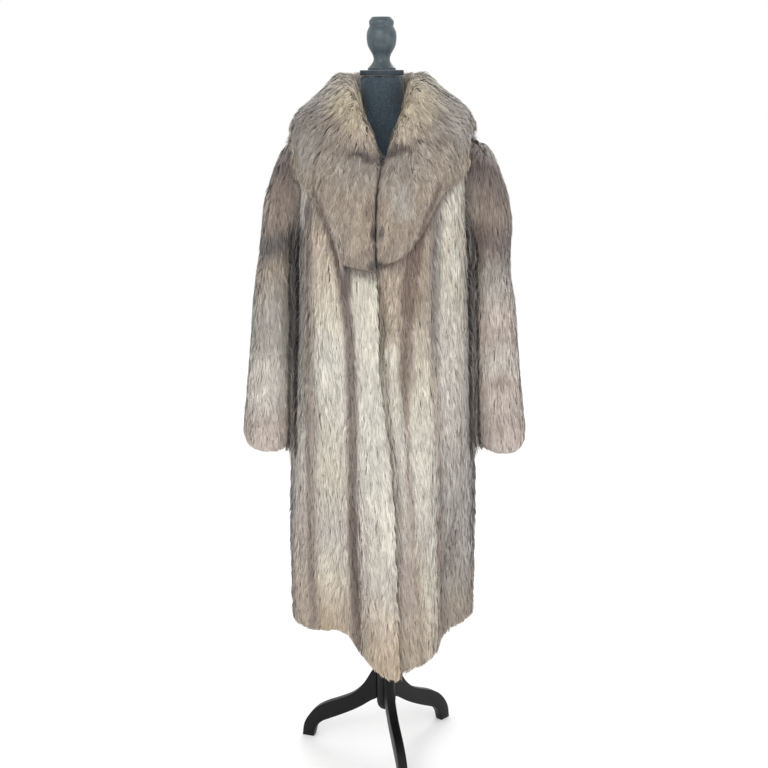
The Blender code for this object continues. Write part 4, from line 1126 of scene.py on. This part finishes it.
def make_hide(node):
    """The thin closed shell under one piece's fur."""
    panel = panels[node]
    bed = BEDS.get(node, FUR_BED)
    copy = merged(node)
    for vertex, point, normal in zip(copy.verts, panel.points, panel.normals):
        hit = panel.tree.ray_cast(Vector(point - normal * INNER_RAY_START), Vector(-normal), WALL_SEEN)
        room = hit[3] if hit[0] is not None else bed
        move = Vector(normal) * -min(bed, HIDE_SHARE * room)
        for name in CLOTH:
            seam, _normal, _face, gap = panels[name].tree.find_nearest(Vector(point), SEAM_NEAR)
            if name != node and seam is not None and gap > TINY:
                away = (Vector(point) - seam) / gap
                move -= away * max(0.0, move.dot(away))
        vertex.co = Vector(point) + move
    mesh = bpy.data.meshes.new("hide_" + node)
    copy.to_mesh(mesh)
    copy.free()
    mesh.shade_smooth()
    mesh.materials.clear()
    mesh.materials.append(hide_finish)
    made = bpy.data.objects.new("hide_" + node, mesh)
    bpy.context.scene.collection.objects.link(made)
    return made


hides = {node: make_hide(node) for node in CLOTH}
print({name: len(hide.data.polygons) for name, hide in hides.items()})

# %% [markdown]
# ## The fur
#
# Now each piece grows its coat. Locks with dark tips are spread among the pale ones, more of them where
# the pelt is speckled.

# %% Grow the fur
FUR_ROWS = {  # node: locks, length, width
    "front_right": (56000, 0.044, 0.0017),
    "front_left": (56000, 0.044, 0.0017),
    "back": (50000, 0.050, 0.0024),
    "sleeve_right": (36000, 0.040, 0.0017),
    "sleeve_left": (36000, 0.040, 0.0017),
    "collar": (58000, 0.040, 0.0017),
    "lapel_right": (12000, 0.034, 0.0017),
    "lapel_left": (12000, 0.034, 0.0017),
}
FIRST_SEED = 100
PAINT_PLACE = 0.4  # a lock takes the colour of this share of the way from its middle to its tip
TONE = 0.040  # how much tufts and locks differ in brightness
GAIN = 1.09  # fur is painted a little lighter than it should look, because its locks shade each other
DARK_TIP = 0.55  # how bright a dark tip is beside a plain one
SCREEN_LIMITS = (8, 250)
LIGHT_LIMITS = (0.003, 0.95)


def grow(node, seed):
    """The fur of one piece, as one joined mesh."""
    count, length, width = FUR_ROWS[node]
    rng = np.random.default_rng(seed)
    bed = BEDS.get(node, FUR_BED)
    mine, middle, across, facing = lock_points(panels[node], count, length, width, bed, rng)
    screen, dark_tips = painted(node, middle[:, -2] * (1 - PAINT_PLACE) + middle[:, -1] * PAINT_PLACE)
    tone = rng.normal(1.0, TONE, mine.max() + 1)[mine] * rng.normal(1.0, TONE, len(mine))
    base = linear(*np.clip(screen * tone[:, None], *SCREEN_LIMITS).T).T * GAIN
    light = np.repeat(ROW_LIGHT[None], len(mine), axis=0)
    dark = rng.random(len(mine)) < dark_tips
    light[dark] *= 1 - (1 - DARK_TIP) * ROW_SHARES
    colours = np.clip(base[:, None, :] * light[:, :, None], *LIGHT_LIMITS)
    mesh = lock_mesh("fur_" + node, middle, across, facing, colours)
    mesh.materials.append(fur_finish)
    made = bpy.data.objects.new("fur_" + node, mesh)
    bpy.context.scene.collection.objects.link(made)
    return made


furs = {node: grow(node, FIRST_SEED + k) for k, node in enumerate(CLOTH)}
print({name: len(fur.data.vertices) for name, fur in furs.items()})

# %% [markdown]
# ## The form and its stand
#
# The stand is painted wood. Its finial, cap and pole are turned on a lathe, so each is a profile spun
# about the upright axis. The legs are boards sawn to a curve, so each is an outline drawn out to the
# board's thickness, with its edges rounded over. The hub is round, with a flat seat for each leg.

# %% Name the stand's sizes
LEG_ANGLES = {"leg_front": 281.0, "leg_left": 45.0, "leg_right": 161.0}  # degrees from +X
LEG_THICKNESS = 0.019
LEG_ROUNDING = 0.0025
HUB_RADIUS = 0.0215
HUB_LOW, HUB_HIGH = (corner[2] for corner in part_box("hub"))
CAP_LOW, CAP_HIGH = (corner[2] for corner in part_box("neck_cap"))
POLE_LOW, POLE_HIGH = (corner[2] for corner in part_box("pole"))
FINIAL_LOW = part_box("finial")[0][2]
CAP_RADIUS = 0.0440
CAP_ROUNDING = 0.0016
POLE_RADIUS = 0.0150
POLE_CHAMFER = 0.001
print("hub from", round(HUB_LOW, 3), "to", round(HUB_HIGH, 3), "m; finial from", round(FINIAL_LOW, 3), "m")

# %% Draw the outlines: the finial's as height and radius, the leg's as radius and height
FINIAL_FOOT = [(0.00, 0.0276), (0.0008, 0.028), (0.0034, 0.028), (0.0042, 0.0274)]
FINIAL_VASE = [
    (0.0042, 0.0274), (0.008, 0.0235), (0.013, 0.0195), (0.018, 0.0168), (0.0235, 0.0165), (0.031, 0.019),
    (0.039, 0.0238), (0.047, 0.0276), (0.056, 0.0294), (0.066, 0.0298), (0.075, 0.0284), (0.082, 0.0252),
    (0.0845, 0.0239),
]
FINIAL_CROWN = [
    (0.0862, 0.024), (0.0882, 0.0247), (0.0935, 0.0248), (0.0955, 0.0241), (0.101, 0.0196),
    (0.102, 0.0184),
]
LEG_TOP = [
    (0.0206, 0.205), (0.031, 0.19), (0.048, 0.16), (0.062, 0.141), (0.079, 0.125), (0.098, 0.113),
    (0.12, 0.102), (0.145, 0.09), (0.169, 0.074), (0.188, 0.052), (0.20, 0.028), (0.204, 0.00),
]
LEG_BOTTOM = [
    (0.177, 0.00), (0.17, 0.024), (0.156, 0.041), (0.135, 0.053), (0.108, 0.067), (0.078, 0.084),
    (0.055, 0.099), (0.034, 0.115), (0.0206, 0.123),
]
EASE_STEPS = 4
print("a leg reaches", LEG_TOP[-1][0], "m from the axis")


# %% Smooth an outline and place a piece
def eased(points, steps):
    """A smooth line through points, with so many steps between each two."""
    points = np.asarray(points, float)
    ends = np.vstack([2 * points[0] - points[1], points, 2 * points[-1] - points[-2]])
    line = []
    for before, start, stop, after in zip(ends, ends[1:], ends[2:], ends[3:]):
        for t in np.arange(steps) / steps:
            line.append(
                start
                + 0.5 * t * (stop - before)
                + t * t * (before - 2.5 * start + 2 * stop - 0.5 * after)
                + t**3 * (1.5 * (start - stop) + 0.5 * (after - before))
            )
    return [tuple(point) for point in line] + [tuple(points[-1])]


def placed(name, shape, finish_used, sharp):
    """A new piece from a bmesh, with smooth shading between its sharp edges."""
    bmesh.ops.recalc_face_normals(shape, faces=shape.faces)
    mesh = bpy.data.meshes.new(name)
    shape.to_mesh(mesh)
    shape.free()
    mesh.shade_smooth()
    mesh.set_sharp_from_angle(angle=math.radians(sharp))
    mesh.materials.append(finish_used)
    made = bpy.data.objects.new(name, mesh)
    bpy.context.scene.collection.objects.link(made)
    return made


print("the vase of the finial has", len(eased(FINIAL_VASE, EASE_STEPS)), "points")

# %% Turn on the lathe
LATHE_SIDES = 64
CAP_ANGLES = (0.0, 0.5, 1.0, 1.57)


def rounded_disc(radius, height, rounding):
    """The profile of a disc with a rounded rim, as height and radius."""
    low = [(rounding * (1 - math.cos(a)), radius - rounding * (1 - math.sin(a))) for a in CAP_ANGLES]
    return low + [(height - rise, reach) for rise, reach in reversed(low)]


def chamfered_rod(radius, height, chamfer):
    """The profile of a rod with its two ends' edges cut off."""
    low = [(0.0, radius - chamfer), (chamfer, radius)]
    return low + [(height - rise, reach) for rise, reach in reversed(low)]


def spun(name, profile, bottom, finish_used, sharp):
    """A turned piece from a profile of height and radius."""
    shape = bmesh.new()
    chain = [(profile[0][0], 0.0), *profile, (profile[-1][0], 0.0)]
    points = [shape.verts.new((radius, 0.0, bottom + height)) for height, radius in chain]
    edges = [shape.edges.new(pair) for pair in zip(points, points[1:])]
    bmesh.ops.spin(
        shape,
        geom=points + edges,
        axis=(0, 0, 1),
        cent=(0, 0, 0),
        steps=LATHE_SIDES,
        angle=2 * math.pi,
        use_merge=True,
    )
    bmesh.ops.remove_doubles(shape, verts=shape.verts, dist=1e-6)
    bmesh.ops.dissolve_degenerate(shape, edges=shape.edges, dist=1e-7)
    return placed(name, shape, finish_used, sharp)


print("a turned piece has", LATHE_SIDES, "sides")


# %% Saw a leg
def sawn(name, angle, finish_used):
    """A leg: its outline drawn out sideways to the board's thickness, with rounded edges."""
    outline = eased(LEG_TOP, EASE_STEPS) + eased(LEG_BOTTOM, EASE_STEPS)
    along_x, along_y = math.cos(math.radians(angle)), math.sin(math.radians(angle))
    half = LEG_THICKNESS / 2
    shape = bmesh.new()
    points = [(r * along_x + half * along_y, r * along_y - half * along_x, z) for r, z in outline]
    side = shape.faces.new([shape.verts.new(point) for point in points])
    pulled = bmesh.ops.extrude_face_region(shape, geom=[side])
    moved = [v for v in pulled["geom"] if isinstance(v, bmesh.types.BMVert)]
    bmesh.ops.translate(shape, verts=moved, vec=(-LEG_THICKNESS * along_y, LEG_THICKNESS * along_x, 0.0))
    bmesh.ops.recalc_face_normals(shape, faces=shape.faces)
    faces = sorted(shape.faces, key=lambda face: face.calc_area())[-2:]
    rims = [edge for face in faces for edge in face.edges]
    bmesh.ops.bevel(
        shape,
        geom=rims,
        offset=LEG_ROUNDING,
        segments=3,
        affect="EDGES",
        profile=0.5,
        material=-1,
        clamp_overlap=True,
    )
    return placed(name, shape, finish_used, sharp=35.0)


print("legs are", LEG_THICKNESS, "m thick")

# %% Turn the hub and cut its seats
HUB_ROUNDING = 0.022
HUB_END = 0.55  # the lower end's radius, as a share
HUB_ROWS = 9
HUB_RIM = [(0.004, 1.0), (0.002, 0.97), (0.0, 0.87)]  # depth below the top, and the radius as a share
SEAT_SPARE_DEGREES = 3.0
FREE_STEPS = 12


def make_hub_piece(finish_used):
    """A round block with a flat seat for each leg and a rounded lower end."""
    half = math.degrees(math.asin(LEG_THICKNESS / 2 / HUB_RADIUS)) + SEAT_SPARE_DEGREES
    seats = sorted(LEG_ANGLES.values())
    turns = []
    for order, angle in enumerate(seats):
        free = (seats[(order + 1) % len(seats)] - angle) % 360 - 2 * half
        turns += [angle - half] + [angle + half + free * k / FREE_STEPS for k in range(FREE_STEPS)]
    rows = []
    for bend in np.linspace(0, math.pi / 2, HUB_ROWS):
        rise = HUB_ROUNDING * (1 - math.cos(bend))
        rows.append((HUB_LOW + rise, HUB_END + (1 - HUB_END) * math.sin(bend)))
    rows += [(HUB_HIGH - drop, share) for drop, share in HUB_RIM]
    shape = bmesh.new()
    rings = []
    for z, share in rows:
        reach = HUB_RADIUS * share
        around = [(math.cos(math.radians(t)), math.sin(math.radians(t))) for t in turns]
        rings.append([shape.verts.new((reach * x, reach * y, z)) for x, y in around])
    for lower, upper in zip(rings, rings[1:]):
        for k in range(len(turns)):
            after = (k + 1) % len(turns)
            shape.faces.new((lower[k], lower[after], upper[after], upper[k]))
    shape.faces.new(rings[0][::-1])
    shape.faces.new(rings[-1])
    return placed("turned_hub", shape, finish_used, sharp=30.0)


print("the hub has a seat for each of", len(LEG_ANGLES), "legs")

# %% [markdown]
# ### Paint and jersey
#
# The stand's black paint is satin: brushed on, with small scuffs. The finial's paint has faded to a blue
# grey. The form wears a fine dark jersey, which shows as a soft nap with faint rows of stitches.


# %% Mix the paint
def painted_wood(name, low, high, roughness, shine):
    """Satin paint on wood: brush marks along the piece, fine scuffs and uneven gloss."""
    made, tree, shader = finish(name, linear(*high), roughness, Specular_IOR_Level=shine)
    place = add(tree, "TexCoord")
    stretch = add(tree, "Mapping", Scale=(260.0, 260.0, 30.0))
    brush = add(tree, "TexNoise", Scale=1.0, Detail=5.0)
    scuffs = add(tree, "TexNoise", Scale=55.0, Detail=8.0, Roughness=0.7)
    ramp = add_ramp(tree, low, high, 0.38, 0.62)
    gloss = add(tree, "MapRange", To_Min=roughness - 0.10, To_Max=roughness + 0.14)
    bump = add(tree, "Bump", Strength=0.22, Distance=0.0006)
    join(
        tree,
        (place, "Object", stretch, "Vector"),
        (stretch, "Vector", brush, "Vector"),
        (place, "Object", scuffs, "Vector"),
        (scuffs, "Fac", ramp, "Fac"),
        (ramp, "Color", shader, "Base Color"),
        (scuffs, "Fac", gloss, "Value"),
        (gloss, "Result", shader, "Roughness"),
        (brush, "Fac", bump, "Height"),
        (bump, "Normal", shader, "Normal"),
    )
    return made


black_paint = painted_wood("black_paint", (7, 7, 8), (14, 14, 15), 0.42, 0.20)
faded_paint = painted_wood("faded_paint", (50, 62, 68), (68, 81, 87), 0.38, 0.55)
cap_paint = painted_wood("cap_paint", (44, 53, 60), (60, 70, 78), 0.70, 0.25)
print("paints:", black_paint.name, faded_paint.name, cap_paint.name)

# %% Knit the jersey
STITCHES_PER_METRE = 900.0
WAVE_TURN = 6.28  # a wave texture's scale is this much smaller than its waves per metre

jersey, tree, shader = finish(
    "form_jersey",
    linear(54, 68, 79),
    0.92,
    Sheen_Weight=0.35,
    Sheen_Roughness=0.5,
    Specular_IOR_Level=0.2,
)
place = add(tree, "TexCoord")
stitches = add(tree, "TexWave", Scale=STITCHES_PER_METRE / WAVE_TURN, Distortion=1.5, Detail=3.0)
stitches.bands_direction = "Z"
nap = add(tree, "TexNoise", Scale=320.0, Detail=7.0)
ramp = add_ramp(tree, (50, 61, 70), (71, 84, 93), 0.35, 0.68)
both = add(tree, "Math")
both.operation = "ADD"
bump = add(tree, "Bump", Strength=0.35, Distance=0.0008)
join(
    tree,
    (place, "Object", stitches, "Vector"),
    (place, "Object", nap, "Vector"),
    (nap, "Fac", ramp, "Fac"),
    (ramp, "Color", shader, "Base Color"),
    (stitches, "Fac", both, 0),
    (nap, "Fac", both, 1),
    (both, "Value", bump, "Height"),
    (bump, "Normal", shader, "Normal"),
)
print("jersey:", jersey.name)

# %% [markdown]
# ### The form's body
#
# The form's body keeps its solid's shape, rounded by subdivision. Where the jersey is pulled in around
# the neck it wrinkles, so the surface is pressed in along a few slanting folds, less than a millimetre
# deep.

# %% Round the form and wrinkle its neck
WRINKLE_DEPTH = 0.0009
NECK_FROM_Z = 1.40
NECK_FULL_Z = 1.44
WRINKLES = [(9, 95, 0.0, 1.0), (17, -150, 1.0, 0.6)]  # folds round the neck, slant, shift, strength
WRINKLE_SHARE = 0.31  # keeps the folds' depth between none and all of WRINKLE_DEPTH


def make_bust():
    """The form's body, rounded, with wrinkles pressed into its neck."""
    shape = merged("bust")
    bmesh.ops.join_triangles(
        shape,
        faces=shape.faces,
        angle_face_threshold=3.0,
        angle_shape_threshold=3.0,
    )
    made = placed("jersey_form", shape, jersey, sharp=60.0)
    rounding = made.modifiers.new("rounding", "SUBSURF")
    rounding.levels = rounding.render_levels = 2
    rounded = bpy.data.meshes.new_from_object(made.evaluated_get(bpy.context.evaluated_depsgraph_get()))
    made.modifiers.clear()
    made.data = rounded
    places = np.array([v.co for v in rounded.vertices])
    normals = np.array([v.normal for v in rounded.vertices])
    turn = np.arctan2(places[:, 0], -places[:, 1])
    folds = np.zeros(len(places))
    for folds_round, slant, shift, strength in WRINKLES:
        folds += strength * np.sin(folds_round * turn + slant * places[:, 2] + shift)
    pressed = WRINKLE_DEPTH * (0.5 + WRINKLE_SHARE * folds)
    depth = pressed * smooth(NECK_FROM_Z, NECK_FULL_Z, places[:, 2])
    places -= normals * depth[:, None]
    rounded.vertices.foreach_set("co", places.astype(np.float32).ravel())
    rounded.update()
    return made


# %% Make the form and the stand
cap = rounded_disc(CAP_RADIUS, CAP_HIGH - CAP_LOW, CAP_ROUNDING)
rod = chamfered_rod(POLE_RADIUS, POLE_HIGH - POLE_LOW, POLE_CHAMFER)
finial = FINIAL_FOOT[:-1] + eased(FINIAL_VASE, EASE_STEPS) + FINIAL_CROWN
stand = {
    "bust": make_bust(),
    "neck_cap": spun("turned_cap", cap, CAP_LOW, cap_paint, sharp=50.0),
    "finial": spun("turned_finial", finial, FINIAL_LOW, faded_paint, sharp=32.0),
    "pole": spun("turned_pole", rod, POLE_LOW, black_paint, sharp=40.0),
    "hub": make_hub_piece(black_paint),
}
for leg, leg_angle in LEG_ANGLES.items():
    stand[leg] = sawn("sawn_" + leg, leg_angle, black_paint)
for node, made in stand.items():
    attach(made, "root")
    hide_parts(node)
print({node: len(made.data.polygons) for node, made in stand.items()})

# %% [markdown]
# ## The cut of the cloth
#
# Nothing on the coat turns or slides, so every piece rides on the one body. Each hide and its fur stand
# for their solid, which is hidden. The table gives each piece's cut, flat, as a width, a length and an
# area; only the sum of the areas is printed.

FLAT = {  # node: width, length, area of the cut
    "front_right": (0.40, 1.17, 0.331),
    "front_left": (0.42, 1.17, 0.352),
    "back": (0.72, 1.17, 0.614),
    "sleeve_right": (0.46, 0.62, 0.213),
    "sleeve_left": (0.46, 0.64, 0.223),
    "collar": (0.98, 0.24, 0.171),
    "lapel_right": (0.14, 0.20, 0.0224),
    "lapel_left": (0.14, 0.20, 0.0206),
}
for node in CLOTH:
    for piece in (hides[node], furs[node]):
        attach(piece, "root")
    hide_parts(node)
    width, length, area = FLAT[node]
print("flat area of all the cloth:", round(sum(area for _width, _length, area in FLAT.values()), 3), "m²")
